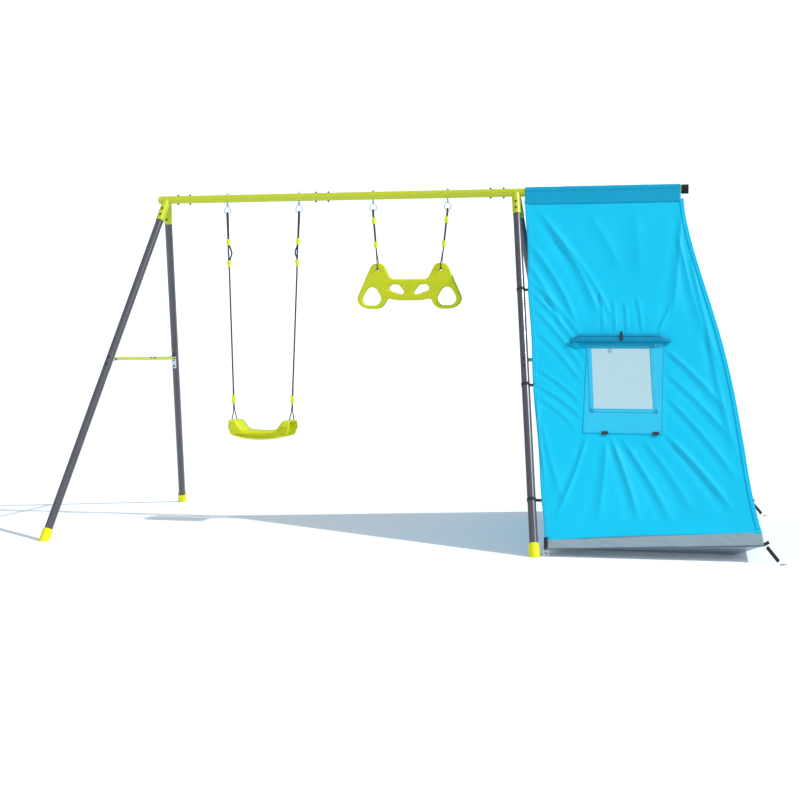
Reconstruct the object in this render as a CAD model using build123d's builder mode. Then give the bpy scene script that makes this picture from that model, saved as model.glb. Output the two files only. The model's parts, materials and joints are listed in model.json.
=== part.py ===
from build123d import *
import os
from math import asin, cos, sqrt

# Swing set: a steel beam on two A-frames carries a seat swing and a ring
# trapeze, and runs on to the right as the ridge of a small play tent.
# Frame: X along the beam, -Y is the open front, Z up, ground at Z = 0.

# ---- driving dimensions, in millimetres ------------------------------------
BEAM_Z = 1845.0
BEAM_R = 22.5
BEAM_WALL = 1.5
LEFT_APEX_X = -1540.0
RIGHT_APEX_X = LEFT_APEX_X + 2013.0
FOOT_Y = 995.0
LEFT_SPLAY = -290.0
RIGHT_SPLAY = 227.0
LEG_R = 21.0
LEG_WALL = 1.2
CLEAR = 0.3
BOLT_R = 3.0
BOLT_HOLE_R = 3.3

# beam joints, eye bolts and ends, measured from the left apex
JOINT_AT = (103.0, 921.0, 1910.0)
TENT_JOINT_AT = 2100.0
JOINT_BOLT_OFFSET = 36.0
BEAM_START, BEAM_FINISH = -44.0, 2910.0
SEAT_HOOKS_AT = (363.0, 786.0)
BAR_HOOKS_AT = (1214.0, 1635.0)

# legs and their joints
SLEEVE_R, SLEEVE_LENGTH = 23.6, 142.0
LEG_TOP_S = 44.0
LEG_JOINT_Z, SWAGE_END_Z = 975.0, 855.0
BRACE_Z, LOWER_BOLT_Z = 936.0, 899.0
BRACE_R = 10.0
FOOT_CAP_R, FOOT_CAP_Z, LEG_END_Z = 27.0, 56.0, 16.0
SLEEVE_BOLTS_S = (72.0, 112.0)

# eye bolts, snap hooks and their gates
EYE_R, WIRE_R = 10.5, 3.0
EYE_Z = BEAM_Z - BEAM_R - EYE_R - WIRE_R - 0.5
HOOK_Z = EYE_Z - EYE_R + 2 * WIRE_R + 0.5      # axis that the hook swings about
HOOK_TOP_R, HOOK_LOW_R, HOOK_SPAN = 9.0, 19.0, 18.5
GATE_R, PIN_R = 2.3, 1.2

# ropes
ROPE_R, LOOP_R = 4.5, 2.75
STRAND_Y = 4.9

# moulded seat and ring trapeze
SEAT_X = LEFT_APEX_X + 572.5
SEAT_DEPTH, SEAT_SKIN = 165.0, 5.0
SEAT_HOLE_X, SEAT_HOLE_Y, SEAT_HOLE_R = 170.0, 42.0, 5.5
BAR_X, BAR_Z = LEFT_APEX_X + 1421.0, 1340.0
BAR_THICK = 30.0
BAR_HOLE_X, BAR_HOLE_Z = 179.0, 1431.0

# tent cloth
CLOTH = 2.0
RIDGE_Y, RIDGE_Z = 25.0, 1832.0                # top of a wall, beside the beam
HEM_Y, HEM_Z = 955.0, 79.0                     # foot of a wall
RIDGE_LEFT, RIDGE_RIGHT = 2067.0, 2912.0       # from the left apex
HEM_LEFT, HEM_RIGHT = 2285.0, 3308.0
WALL_TOP_Z = 1765.0
SLEEVE_SKIRT_Z = 1768.0
RIM_LEFT_Z, RIM_RIGHT_Z = 72.0, 135.0          # top edge of the grey tub band
SEAM_LEFT_Z, SEAM_RIGHT_Z = 36.0, 79.0         # lower seam of the tub band
FLOOR_LEFT, FLOOR_RIGHT, FLOOR_Y = 2332.0, 3177.0, 720.0
PANE_X, PANE_Z, PANE_W, PANE_H = 2622.0, 845.0, 300.0, 306.0
COVER_X, COVER_W, COVER_H, COVER_TOP_Z = 2636.0, 384.0, 440.0, 1018.0
ROLL_X, ROLL_LENGTH = 2605.0, 470.0
TAB_XS, TAB_Z = (2549.0, 2796.0), 577.0
DOOR_INNER_Y = 700.0
TIE_ZS = (1303.0, 810.0, 257.0)

ALIGN_LOW = (Align.CENTER, Align.CENTER, Align.MIN)
ALONG_X, ALONG_Y = (0, 90, 0), (90, 0, 0)


def at(x):
    """Model X of a distance measured from the left apex."""
    return LEFT_APEX_X + x


def save(piece, name):
    """Labels a finished piece and writes its STEP file."""
    piece.part.label = name
    export_step(piece.part, f"parts/{name}.step")


# ---- A-frame geometry -------------------------------------------------------
APEX = {"left": LEFT_APEX_X, "right": RIGHT_APEX_X}
SPLAY = {"left": LEFT_SPLAY, "right": RIGHT_SPLAY}
SIDE = {"front": -1, "rear": 1}
LEGS = [(end, face) for end in APEX for face in SIDE]


def leg_slope(end):
    """How far along a leg one millimetre of height is."""
    return sqrt(SPLAY[end] ** 2 + FOOT_Y**2 + BEAM_Z**2) / BEAM_Z


def along(end, z):
    """Distance down a leg's axis, from the apex to height z."""
    return (BEAM_Z - z) * leg_slope(end)


def leg_plane(end, face):
    """Workplane at the apex: local Z down the leg, local X outwards."""
    axis = Vector(SPLAY[end], SIDE[face] * FOOT_Y, -BEAM_Z).normalized()
    across = Vector(0, SIDE[face], 0)
    outward = (across - axis * across.dot(axis)).normalized()
    return Plane(origin=(APEX[end], 0, BEAM_Z), x_dir=outward, z_dir=axis)


def brace_plane(end, face):
    """Workplane on a leg's axis at the brace: local X points at the other leg."""
    legs = leg_plane(end, face)
    point = legs.origin + legs.z_dir * along(end, BRACE_Z)
    return Plane(origin=point, x_dir=(0, -SIDE[face], 0), z_dir=legs.y_dir)


def tube(radius, wall, start, finish):
    """Adds a hollow tube along the workplane's Z, open at both ends."""
    with Locations((0, 0, start)):
        Cylinder(radius, finish - start, align=ALIGN_LOW)
        Cylinder(radius - wall, finish - start, align=ALIGN_LOW, mode=Mode.SUBTRACT)


def cross_holes(distances, radius):
    """Drills holes along local X at distances down the workplane's Z."""
    with Locations(*[(0, 0, s) for s in distances]):
        Cylinder(radius, 4 * SLEEVE_R, rotation=ALONG_X, mode=Mode.SUBTRACT)


# ---- beam -------------------------------------------------------------------
def beam_span(start, finish, hole_xs=(), radius=BEAM_R, wall=BEAM_WALL):
    """Adds a tube along the beam with vertical holes, all at distances from the left apex."""
    with Locations((at((start + finish) / 2), 0, BEAM_Z)):
        Cylinder(radius, finish - start, rotation=ALONG_X)
        Cylinder(radius - wall, finish - start, rotation=ALONG_X, mode=Mode.SUBTRACT)
    for x in hole_xs:
        with Locations((at(x), 0, BEAM_Z)):
            Cylinder(HOLE_FOR[x], 4 * BEAM_R, mode=Mode.SUBTRACT)


BOLTS_AT = [x + side * JOINT_BOLT_OFFSET for x in JOINT_AT for side in (-1, 1)]
EYE_BOLT_R = 4.0
HOLE_FOR = {x: BOLT_HOLE_R for x in BOLTS_AT}
HOLE_FOR.update({x: EYE_BOLT_R + CLEAR for x in SEAT_HOOKS_AT + BAR_HOOKS_AT})

os.makedirs("parts", exist_ok=True)

with BuildPart() as beam_tube_left:
    beam_span(JOINT_AT[0], JOINT_AT[1], BOLTS_AT[1:3] + list(SEAT_HOOKS_AT))
save(beam_tube_left, "beam_tube_left")

with BuildPart() as beam_tube_right:
    beam_span(JOINT_AT[1], JOINT_AT[2], BOLTS_AT[3:5] + list(BAR_HOOKS_AT))
save(beam_tube_right, "beam_tube_right")

with BuildPart() as tent_beam_tube:
    beam_span(TENT_JOINT_AT, BEAM_FINISH)
save(tent_beam_tube, "tent_beam_tube")

INNER_SLEEVE_R = BEAM_R - BEAM_WALL - 0.2
with BuildPart() as beam_joint_sleeves:
    for joint in JOINT_AT:
        pair = [joint - JOINT_BOLT_OFFSET, joint + JOINT_BOLT_OFFSET]
        beam_span(max(joint - 70, BEAM_START + 30), joint + 70, pair, INNER_SLEEVE_R, 1.8)
    beam_span(TENT_JOINT_AT - 40, TENT_JOINT_AT + 70, (), INNER_SLEEVE_R, 1.8)
save(beam_joint_sleeves, "beam_joint_sleeves")


def bracket(end, start, finish, holes):
    """Adds one welded corner: a stub of the beam and the two leg sleeves."""
    with Locations((at((start + finish) / 2), 0, BEAM_Z)):
        Cylinder(BEAM_R, finish - start, rotation=ALONG_X)
    for face in SIDE:
        plane = leg_plane(end, face)
        with Locations(plane):
            Cylinder(SLEEVE_R, SLEEVE_LENGTH, align=ALIGN_LOW)
    for face in SIDE:
        plane = leg_plane(end, face)
        bore = Plane(plane.origin + plane.z_dir * (LEG_TOP_S - 2), plane.x_dir, plane.z_dir)
        with Locations(bore):
            Cylinder(LEG_R + CLEAR, SLEEVE_LENGTH, align=ALIGN_LOW, mode=Mode.SUBTRACT)
        for s in SLEEVE_BOLTS_S:
            point = Plane(plane.origin + plane.z_dir * s, plane.x_dir, plane.z_dir)
            with Locations(point):
                Cylinder(BOLT_HOLE_R, 4 * LEG_R, rotation=ALONG_X, mode=Mode.SUBTRACT)
    with Locations((at((start + finish) / 2), 0, BEAM_Z)):
        Cylinder(BEAM_R - BEAM_WALL, finish - start, rotation=ALONG_X, mode=Mode.SUBTRACT)
    for x in holes:
        with Locations((at(x), 0, BEAM_Z)):
            Cylinder(BOLT_HOLE_R, 4 * BEAM_R, mode=Mode.SUBTRACT)


with BuildPart() as left_corner_bracket:
    bracket("left", BEAM_START, JOINT_AT[0], BOLTS_AT[:1])
save(left_corner_bracket, "left_corner_bracket")

with BuildPart() as right_tee_bracket:
    bracket("right", JOINT_AT[2], TENT_JOINT_AT, BOLTS_AT[5:])
save(right_tee_bracket, "right_tee_bracket")

with BuildPart() as left_end_plug:
    with Locations((at(BEAM_START) - 2, 0, BEAM_Z)):
        Cylinder(BEAM_R, 4, rotation=ALONG_X)
    with Locations((at(BEAM_START) + 8, 0, BEAM_Z)):
        Cylinder(INNER_SLEEVE_R, 16, rotation=ALONG_X)
    fillet(left_end_plug.edges().sort_by(Axis.X)[0], 3)
save(left_end_plug, "left_end_plug")

CAP_LENGTH, CAP_WALL, CAP_BORE = 37.0, 2.5, 102.0
with BuildPart() as beam_end_cap:
    with Locations((at(BEAM_FINISH) + 7, 0, BEAM_Z)):
        Cylinder(BEAM_R + CAP_WALL, CAP_LENGTH, rotation=ALONG_X)
    fillet(beam_end_cap.edges().sort_by(Axis.X)[-1], 3)
    with Locations((at(BEAM_FINISH + 1) - CAP_BORE / 2, 0, BEAM_Z)):
        Cylinder(BEAM_R + 0.1, CAP_BORE, rotation=ALONG_X, mode=Mode.SUBTRACT)
save(beam_end_cap, "beam_end_cap")

with BuildPart() as beam_joint_bolts:
    with Locations(*[(at(x), 0, BEAM_Z) for x in BOLTS_AT]):
        Cylinder(BOLT_R, 2 * BEAM_R + 16)
    with BuildSketch(Plane.XY.offset(BEAM_Z + BEAM_R + 0.2)):
        with Locations(*[(at(x), 0) for x in BOLTS_AT]):
            RegularPolygon(6.0, 6)
    extrude(amount=4.5)
save(beam_joint_bolts, "beam_joint_bolts")


# ---- legs, feet and braces --------------------------------------------------
for end, face in LEGS:
    joint, swage_end = along(end, LEG_JOINT_Z), along(end, SWAGE_END_Z)
    bolts = [along(end, BRACE_Z), along(end, LOWER_BOLT_Z)]
    with BuildPart(leg_plane(end, face)) as upper_leg:
        tube(LEG_R, LEG_WALL, LEG_TOP_S, joint - 1)
        tube(LEG_R - LEG_WALL - 0.2, LEG_WALL, joint - 3, swage_end)
        tube(LEG_R, 2 * LEG_WALL + 0.2, joint - 6, joint - 1)
        cross_holes(list(SLEEVE_BOLTS_S) + bolts, BOLT_HOLE_R)
    save(upper_leg, f"{face}_{end}_upper_leg")

    with BuildPart(leg_plane(end, face)) as lower_leg:
        tube(LEG_R, LEG_WALL, joint, along(end, LEG_END_Z))
        cross_holes(bolts, BOLT_HOLE_R)
    save(lower_leg, f"{face}_{end}_lower_leg")


def leg_point(end, face, s):
    """Workplane on a leg's axis, s down from the apex, turned as the leg is."""
    plane = leg_plane(end, face)
    return Plane(plane.origin + plane.z_dir * s, plane.x_dir, plane.z_dir)


with BuildPart() as foot_caps:
    for end, face in LEGS:
        with Locations(leg_point(end, face, along(end, FOOT_CAP_Z))):
            Cylinder(FOOT_CAP_R, 2 * FOOT_CAP_Z, align=ALIGN_LOW)
    split(bisect_by=Plane.XY, keep=Keep.TOP)
    for end, face in LEGS:
        with Locations(leg_point(end, face, along(end, LEG_END_Z) + 0.5)):
            Cylinder(LEG_R + CLEAR, 3 * FOOT_CAP_Z, mode=Mode.SUBTRACT,
                     align=(Align.CENTER, Align.CENTER, Align.MAX))
save(foot_caps, "foot_caps")

SLEEVE_REACH, LEG_REACH, SADDLE_FACE = SLEEVE_R + 0.5, LEG_R + 0.5, 26.0
CHEEK, CHEEK_GAP, PIN_AT, BRACE_INSET = 2.5, 10.5, 52.0, 40.0
NUT_H, NUT_R = 5.0, 5.2


def leg_bolt_pair(end):
    """Distances down a leg of the bolt at its brace and the one below."""
    return [along(end, BRACE_Z), along(end, LOWER_BOLT_Z)]


def cross_bolt(plane, head_face, nut_face, head_h=4.0):
    """Adds a bolt along the plane's X, head outside head_face, shank past nut_face."""
    shank = Plane(plane.origin - plane.x_dir * (nut_face + 7), plane.x_dir, plane.z_dir)
    with Locations(shank):
        Cylinder(BOLT_R, head_face + nut_face + 8, rotation=ALONG_X, align=ALIGN_LOW)
    head = Plane(plane.origin + plane.x_dir * (head_face + head_h / 2), plane.x_dir, plane.z_dir)
    with Locations(head):
        Cylinder(5.5, head_h, rotation=ALONG_X)


def cross_nut(plane, nut_face):
    """Adds the nut of a cross_bolt."""
    spot = Plane(plane.origin - plane.x_dir * (nut_face + NUT_H / 2), plane.x_dir, plane.z_dir)
    with Locations(spot):
        Cylinder(NUT_R, NUT_H, rotation=ALONG_X)
        Cylinder(BOLT_R + 0.1, 2 * NUT_H, rotation=ALONG_X, mode=Mode.SUBTRACT)


with BuildPart() as bracket_bolts:
    for end, face in LEGS:
        for s in SLEEVE_BOLTS_S:
            cross_bolt(leg_point(end, face, s), SLEEVE_REACH, SLEEVE_REACH)
save(bracket_bolts, "bracket_bolts")

with BuildPart() as leg_bolts:
    for end, face in LEGS:
        for s in leg_bolt_pair(end):
            cross_bolt(leg_point(end, face, s), LEG_REACH, SADDLE_FACE)
        inner = brace_plane(end, face)
        with Locations(Plane(inner.origin + inner.x_dir * PIN_AT, inner.x_dir, inner.z_dir)):
            Cylinder(BOLT_R, 34)
            with Locations((0, 0, 17), (0, 0, -17)):
                Cylinder(4.8, 3.4)
save(leg_bolts, "leg_bolts")

with BuildPart() as lock_nuts:
    with BuildSketch(Plane.XY.offset(BEAM_Z - BEAM_R - 0.2 - NUT_H)):
        with Locations(*[(at(x), 0) for x in BOLTS_AT]):
            RegularPolygon(5.8, 6)
            Circle(BOLT_R + 0.1, mode=Mode.SUBTRACT)
    extrude(amount=NUT_H)
    for end, face in LEGS:
        for s in SLEEVE_BOLTS_S:
            cross_nut(leg_point(end, face, s), SLEEVE_REACH)
        for s in leg_bolt_pair(end):
            cross_nut(leg_point(end, face, s), SADDLE_FACE)
save(lock_nuts, "lock_nuts")

with BuildPart() as brace_brackets:
    for end, face in LEGS:
        legs, inner = leg_plane(end, face), brace_plane(end, face)
        middle = legs.origin + legs.z_dir * (along(end, BRACE_Z) + 20) - legs.x_dir * 19
        with Locations(Plane(middle, legs.x_dir, legs.z_dir)):
            Box(2 * (SADDLE_FACE - 19), 2 * (CHEEK_GAP + CHEEK), 72)
        for side in (-1, 1):
            centre = inner.origin + inner.x_dir * 41 + inner.z_dir * (CHEEK_GAP + CHEEK / 2) * side
            with Locations(Plane(centre, inner.x_dir, inner.z_dir)):
                Box(42, 22, CHEEK)
    for end, face in LEGS:
        legs, inner = leg_plane(end, face), brace_plane(end, face)
        with Locations(legs):
            Cylinder(LEG_R + CLEAR, 1500, align=ALIGN_LOW, mode=Mode.SUBTRACT)
        for s in leg_bolt_pair(end):
            with Locations(Plane(legs.origin + legs.z_dir * s, legs.x_dir, legs.z_dir)):
                Cylinder(BOLT_HOLE_R, 80, rotation=ALONG_X, mode=Mode.SUBTRACT)
        with Locations(Plane(inner.origin + inner.x_dir * PIN_AT, inner.x_dir, inner.z_dir)):
            Cylinder(BOLT_HOLE_R, 60, mode=Mode.SUBTRACT)
save(brace_brackets, "brace_brackets")

with BuildPart() as cross_braces:
    for end in APEX:
        brace_y = FOOT_Y * (BEAM_Z - BRACE_Z) / BEAM_Z
        brace_x = APEX[end] + SPLAY[end] * (BEAM_Z - BRACE_Z) / BEAM_Z
        with Locations((brace_x, 0, BRACE_Z)):
            Cylinder(BRACE_R, 2 * (brace_y - BRACE_INSET), rotation=ALONG_Y)
            Cylinder(BRACE_R - LEG_WALL, 2 * brace_y, rotation=ALONG_Y, mode=Mode.SUBTRACT)
        for face in SIDE:
            inner = brace_plane(end, face)
            with Locations(Plane(inner.origin + inner.x_dir * PIN_AT, inner.x_dir, inner.z_dir)):
                Cylinder(BOLT_HOLE_R, 60, mode=Mode.SUBTRACT)
save(cross_braces, "cross_braces")


# ---- eye bolts, snap hooks and gates ----------------------------------------
def eye_bolts(xs):
    """Adds an eye under the beam at each x, with its shank up through the beam."""
    with Locations(*[(at(x), 0, EYE_Z) for x in xs]):
        Torus(EYE_R, WIRE_R, rotation=ALONG_X)
    with Locations(*[(at(x), 0, EYE_Z + EYE_R) for x in xs]):
        Cylinder(EYE_BOLT_R, BEAM_Z + BEAM_R + 11 - EYE_Z - EYE_R, align=ALIGN_LOW)


with BuildPart() as eye_bolts_group:
    eye_bolts(SEAT_HOOKS_AT + BAR_HOOKS_AT)
save(eye_bolts_group, "eye_bolts")

with BuildPart() as eye_bolt_nuts:
    with BuildSketch(Plane.XY.offset(BEAM_Z + BEAM_R + 0.2)):
        with Locations(*[(at(x), 0) for x in SEAT_HOOKS_AT + BAR_HOOKS_AT]):
            RegularPolygon(7.5, 6)
            Circle(EYE_BOLT_R + 0.1, mode=Mode.SUBTRACT)
    extrude(amount=6.5)
save(eye_bolt_nuts, "eye_bolt_nuts")

# The hook is a pear: a small arc on top, a large one below, joined by tangents.
TOP_C = HOOK_Z - HOOK_TOP_R
LOW_C = TOP_C - HOOK_SPAN
LEAN = asin((HOOK_LOW_R - HOOK_TOP_R) / HOOK_SPAN)
SIDE_N = Vector(cos(LEAN), 0, (HOOK_LOW_R - HOOK_TOP_R) / HOOK_SPAN)
HOOK_BOTTOM_Z = LOW_C - HOOK_LOW_R
GATE_PIVOT_S = 3.0


def hook_points(x):
    """Tangent points of the pear's open side, upper then lower, at eye bolt x."""
    upper = Vector(at(x), 0, TOP_C) + SIDE_N * HOOK_TOP_R
    lower = Vector(at(x), 0, LOW_C) + SIDE_N * HOOK_LOW_R
    return upper, lower


def mirrored(point, x):
    """The point's mirror image in the middle plane of the hook at x."""
    return Vector(2 * at(x) - point.X, point.Y, point.Z)


def snap_hook(x):
    """Adds a pear-shaped wire hook at eye bolt x, with two cheeks and a pin for its gate."""
    upper, lower = hook_points(x)
    gate_axis = (lower - upper).normalized()
    pivot = upper + gate_axis * GATE_PIVOT_S
    with BuildLine() as wire:
        ThreePointArc(upper, (at(x), 0, HOOK_Z), mirrored(upper, x))
        Line(mirrored(upper, x), mirrored(lower, x))
        ThreePointArc(mirrored(lower, x), (at(x), 0, HOOK_BOTTOM_Z), lower)
    with BuildSketch(Plane(origin=wire.line @ 0, z_dir=wire.line % 0)) as section:
        Circle(WIRE_R)
    sweep(section.sketch, path=wire.line)
    for side in (-1, 1):
        cheek = pivot - gate_axis * 1.5 + Vector(0, side * 3.2, 0)
        with Locations(Plane(cheek, x_dir=gate_axis, z_dir=(0, 1, 0))):
            Box(9, 5.6, 1.2)
    with Locations(Plane(pivot, x_dir=gate_axis, z_dir=(0, 1, 0))):
        Cylinder(PIN_R, 7.6)


HOOKS = {"seat": SEAT_HOOKS_AT, "trapeze": BAR_HOOKS_AT}
for name, xs in HOOKS.items():
    with BuildPart() as snap_hooks:
        for x in xs:
            snap_hook(x)
    save(snap_hooks, f"{name}_snap_hooks")

    for side, x in zip(("left", "right"), xs):
        upper, lower = hook_points(x)
        gate_axis = (lower - upper).normalized()
        pivot = upper + gate_axis * GATE_PIVOT_S
        with BuildPart(Plane(pivot, x_dir=(0, 1, 0), z_dir=gate_axis)) as gate:
            Cylinder(GATE_R, (lower - upper).length - GATE_PIVOT_S - 0.5, align=ALIGN_LOW)
            Sphere(GATE_R)
            Cylinder(PIN_R + CLEAR, 10, rotation=ALONG_X, mode=Mode.SUBTRACT)
        save(gate, f"{name}_{side}_hook_gate")


# ---- ropes ------------------------------------------------------------------
def rope(points, radii, radius):
    """Adds a round rope along straight runs joined by tangent arcs."""
    with BuildLine() as route:
        FilletPolyline(*points, radius=radii)
    with BuildSketch(Plane(origin=route.line @ 0, z_dir=route.line % 0)) as section:
        Circle(radius)
    sweep(section.sketch, path=route.line)
    print("rope run", round(route.wires()[0].length, 1), "mm, radii", radii)


LOOP_Y = WIRE_R + 2 * CLEAR + ROPE_R           # strand to the side of the hook wire
LOOP_Z = HOOK_BOTTOM_Z + LOOP_Y
SEAT_UPPER_Z, SEAT_LOWER_Z, FERRULE_Z = 1598.0, 1476.0, 706.0
BAR_UPPER_Z, BAR_LOWER_Z = 1705.0, 1572.0
ADJUSTER_H, FERRULE_H = 36.0, 46.0
LOBE_TOP_Z = 590.0


def lean(x, hole_x, z, hole_z):
    """X of a rope at height z, on the straight line from its hook to its hole."""
    return at(x + (hole_x - x) * (HOOK_BOTTOM_Z - z) / (HOOK_BOTTOM_Z - hole_z))


SEAT_HOLES_AT = [SEAT_X - LEFT_APEX_X + side * SEAT_HOLE_X for side in (-1, 1)]
BAR_HOLES_AT = [BAR_X - LEFT_APEX_X + side * BAR_HOLE_X for side in (-1, 1)]
ROPES = {"left": (SEAT_HOOKS_AT[0], SEAT_HOLES_AT[0], 1),
         "right": (SEAT_HOOKS_AT[1], SEAT_HOLES_AT[1], -1)}
BARS = {"left": (BAR_HOOKS_AT[0], BAR_HOLES_AT[0]), "right": (BAR_HOOKS_AT[1], BAR_HOLES_AT[1])}
TURN_R = LOOP_Y - 0.4

for side, (x, hole_x, inward) in ROPES.items():
    def sx(z):
        """X of this seat rope at height z."""
        return lean(x, hole_x, z, LOBE_TOP_Z)

    strands = [
        (sx(1486), STRAND_Y, 1486),
        (sx(1504) + 3 * inward, STRAND_Y + 0.4, 1504),
        (sx(1538) + 20 * inward, STRAND_Y + 1, 1536),
        (sx(1580) + 2 * inward, STRAND_Y + 0.2, 1580),
        (sx(1614), STRAND_Y, 1614),
        (sx(LOOP_Z), LOOP_Y, LOOP_Z),
        (sx(LOOP_Z), -LOOP_Y, LOOP_Z),
        (sx(1614), -STRAND_Y, 1614),
        (sx(1480), -STRAND_Y, 1480),
        (sx(1440), 0, 1440),
        (sx(FERRULE_Z), 0, FERRULE_Z),
    ]
    with BuildPart() as seat_rope:
        rope(strands, [20, 40, 40, 60, TURN_R, TURN_R, 300, 150, 150], ROPE_R)
    save(seat_rope, f"seat_rope_{side}")

    hx = at(hole_x)
    fork = [
        (sx(FERRULE_Z), -LOOP_R - 0.3, 700),
        (sx(642), -LOOP_R - 0.5, 642),
        (hx, -SEAT_HOLE_Y, 600),
        (hx, -SEAT_HOLE_Y, 580.5),
        (hx, SEAT_HOLE_Y, 580.5),
        (hx, SEAT_HOLE_Y, 600),
        (sx(642), LOOP_R + 0.5, 642),
        (sx(FERRULE_Z), LOOP_R + 0.3, 700),
    ]
    with BuildPart() as seat_loop:
        rope(fork, [25, 14, 7, 7, 14, 25], LOOP_R)
    save(seat_loop, f"seat_loop_{side}")

for side, (x, hole_x) in BARS.items():
    def bx(z):
        """X of this trapeze rope at height z."""
        return lean(x, hole_x, z, BAR_HOLE_Z)

    doubled = [
        (bx(1562), STRAND_Y, 1562),
        (bx(1718), STRAND_Y + 0.3, 1718),
        (bx(LOOP_Z), LOOP_Y, LOOP_Z),
        (bx(LOOP_Z), -LOOP_Y, LOOP_Z),
        (bx(1718), -STRAND_Y - 0.3, 1718),
        (bx(1562), -STRAND_Y, 1562),
    ]
    with BuildPart() as trapeze_rope:
        rope(doubled, [100, TURN_R, TURN_R, 100], ROPE_R)
    save(trapeze_rope, f"trapeze_rope_{side}")

    hx = at(hole_x)
    hang_y = BAR_THICK / 2 + LOOP_R + 1.2
    hitch = [
        (bx(1558), -LOOP_R - 0.4, 1558),
        (bx(1535), -LOOP_R - 1.0, 1535),
        (hx, -hang_y - 1, 1468),
        (hx, -hang_y, BAR_HOLE_Z + 1.5),
        (hx, hang_y, BAR_HOLE_Z + 1.5),
        (hx, hang_y + 1, 1468),
        (bx(1535), LOOP_R + 1.0, 1535),
        (bx(1558), LOOP_R + 0.4, 1558),
    ]
    with BuildPart() as trapeze_loop:
        rope(hitch, [20, 60, 9, 9, 60, 20], LOOP_R)
    save(trapeze_loop, f"trapeze_loop_{side}")


def adjuster(x, z, top_r, low_r, bore_ys):
    """Adds one rope adjuster, an oval block that narrows downwards, with its rope bores."""
    with BuildSketch(Plane.XY.offset(z + ADJUSTER_H / 2)) as top:
        with Locations((x, 0)):
            Ellipse(top_r, top_r + 2.5)
    with BuildSketch(Plane.XY.offset(z - ADJUSTER_H / 2)) as low:
        with Locations((x, 0)):
            Ellipse(low_r, low_r + 2.5)
    loft([top.sketch, low.sketch])
    for y in bore_ys:
        with Locations((x, y, z)):
            Cylinder(ROPE_R + 0.6, 2 * ADJUSTER_H, mode=Mode.SUBTRACT)


PAIR = (-STRAND_Y, STRAND_Y)
with BuildPart() as seat_rope_adjusters:
    for x, hole_x, inward in ROPES.values():
        adjuster(lean(x, hole_x, SEAT_UPPER_Z, LOBE_TOP_Z), SEAT_UPPER_Z, 10.5, 10.5, PAIR)
        adjuster(lean(x, hole_x, SEAT_LOWER_Z, LOBE_TOP_Z), SEAT_LOWER_Z, 13.0, 8.5, (*PAIR, 0))
save(seat_rope_adjusters, "seat_rope_adjusters")

with BuildPart() as trapeze_rope_adjusters:
    for x, hole_x in BARS.values():
        for z in (BAR_UPPER_Z, BAR_LOWER_Z):
            adjuster(lean(x, hole_x, z, BAR_HOLE_Z), z, 10.5, 10.5, PAIR)
save(trapeze_rope_adjusters, "trapeze_rope_adjusters")

with BuildPart() as rope_ferrules:
    for x, hole_x, inward in ROPES.values():
        with Locations((lean(x, hole_x, FERRULE_Z, LOBE_TOP_Z), 0, FERRULE_Z)):
            Cylinder(10, FERRULE_H)
            Cylinder(ROPE_R + 1.9, FERRULE_H + 2, mode=Mode.SUBTRACT)
save(rope_ferrules, "rope_ferrules")


# ---- moulded seat -----------------------------------------------------------
SEAT_PLANE = Plane(origin=(SEAT_X, 0, 0), x_dir=(1, 0, 0), z_dir=(0, -1, 0))
SEAT_SIDE = [(178, 500), (203, 552), (186, LOBE_TOP_Z), (138, LOBE_TOP_Z), (98, 536)]
POCKET_SIDE = [(152, 440), (171, 506), (194, 553), (180, LOBE_TOP_Z - SEAT_SKIN),
               (143, LOBE_TOP_Z - SEAT_SKIN), (103, 530)]
SIDE_ROUND = [44, 32, 22, 26, 40]
POCKET_ROUND = [0, 30, 20, 14, 24, 40]


def seat_outline():
    """Draws the seat seen from the front: a bowed underside and two raised ends."""
    left = [(-x, z) for x, z in reversed(SEAT_SIDE)]
    ring = [*SEAT_SIDE, (0, 527), *left, (-90, 479), (0, 472), (90, 479)]
    FilletPolyline(*ring, radius=[*SIDE_ROUND, 600, *SIDE_ROUND[::-1], 300, 700, 300], close=True)


def pocket_outline():
    """Draws the hollow underside of the seat, open downwards."""
    left = [(-x, z) for x, z in reversed(POCKET_SIDE)]
    ring = [*POCKET_SIDE, (0, 521), *left]
    FilletPolyline(*ring, radius=[*POCKET_ROUND, 600, *POCKET_ROUND[::-1]], close=True)


with BuildPart() as swing_seat:
    with BuildSketch(SEAT_PLANE):
        with BuildLine():
            seat_outline()
        make_face()
    extrude(amount=SEAT_DEPTH / 2, both=True)
    with BuildSketch(SEAT_PLANE):
        with BuildLine():
            pocket_outline()
        make_face()
    extrude(amount=SEAT_DEPTH / 2 - SEAT_SKIN - 1, both=True, mode=Mode.SUBTRACT)
    with Locations((SEAT_X, 0, LOBE_TOP_Z)):
        with GridLocations(2 * SEAT_HOLE_X, 2 * SEAT_HOLE_Y, 2, 2):
            Cylinder(SEAT_HOLE_R, 60, mode=Mode.SUBTRACT)
save(swing_seat, "swing_seat")

# ---- ring trapeze -----------------------------------------------------------
BAR_PLANE = Plane(origin=(BAR_X, 0, 0), x_dir=(1, 0, 0), z_dir=(0, -1, 0))
BAR_SIDE = [(104, 1381), (146, 1468), (212, 1468), (304, 1262), (257, 1215), (150, 1215),
            (121, 1272), (62, 1262)]
BAR_ROUND = [30, 27, 27, 48, 46, 46, 12, 90]
RING = [(212, 1372), (290, 1236), (134, 1236)]
SLOT = [(116, 1335), (92, 1352), (58, 1348), (18, 1298), (50, 1298), (108, 1318)]


def both_sides(points, radii):
    """Mirrors half an outline about x = 0, keeping the corners in order."""
    return points + [(-x, z) for x, z in reversed(points)], radii + radii[::-1]


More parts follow.
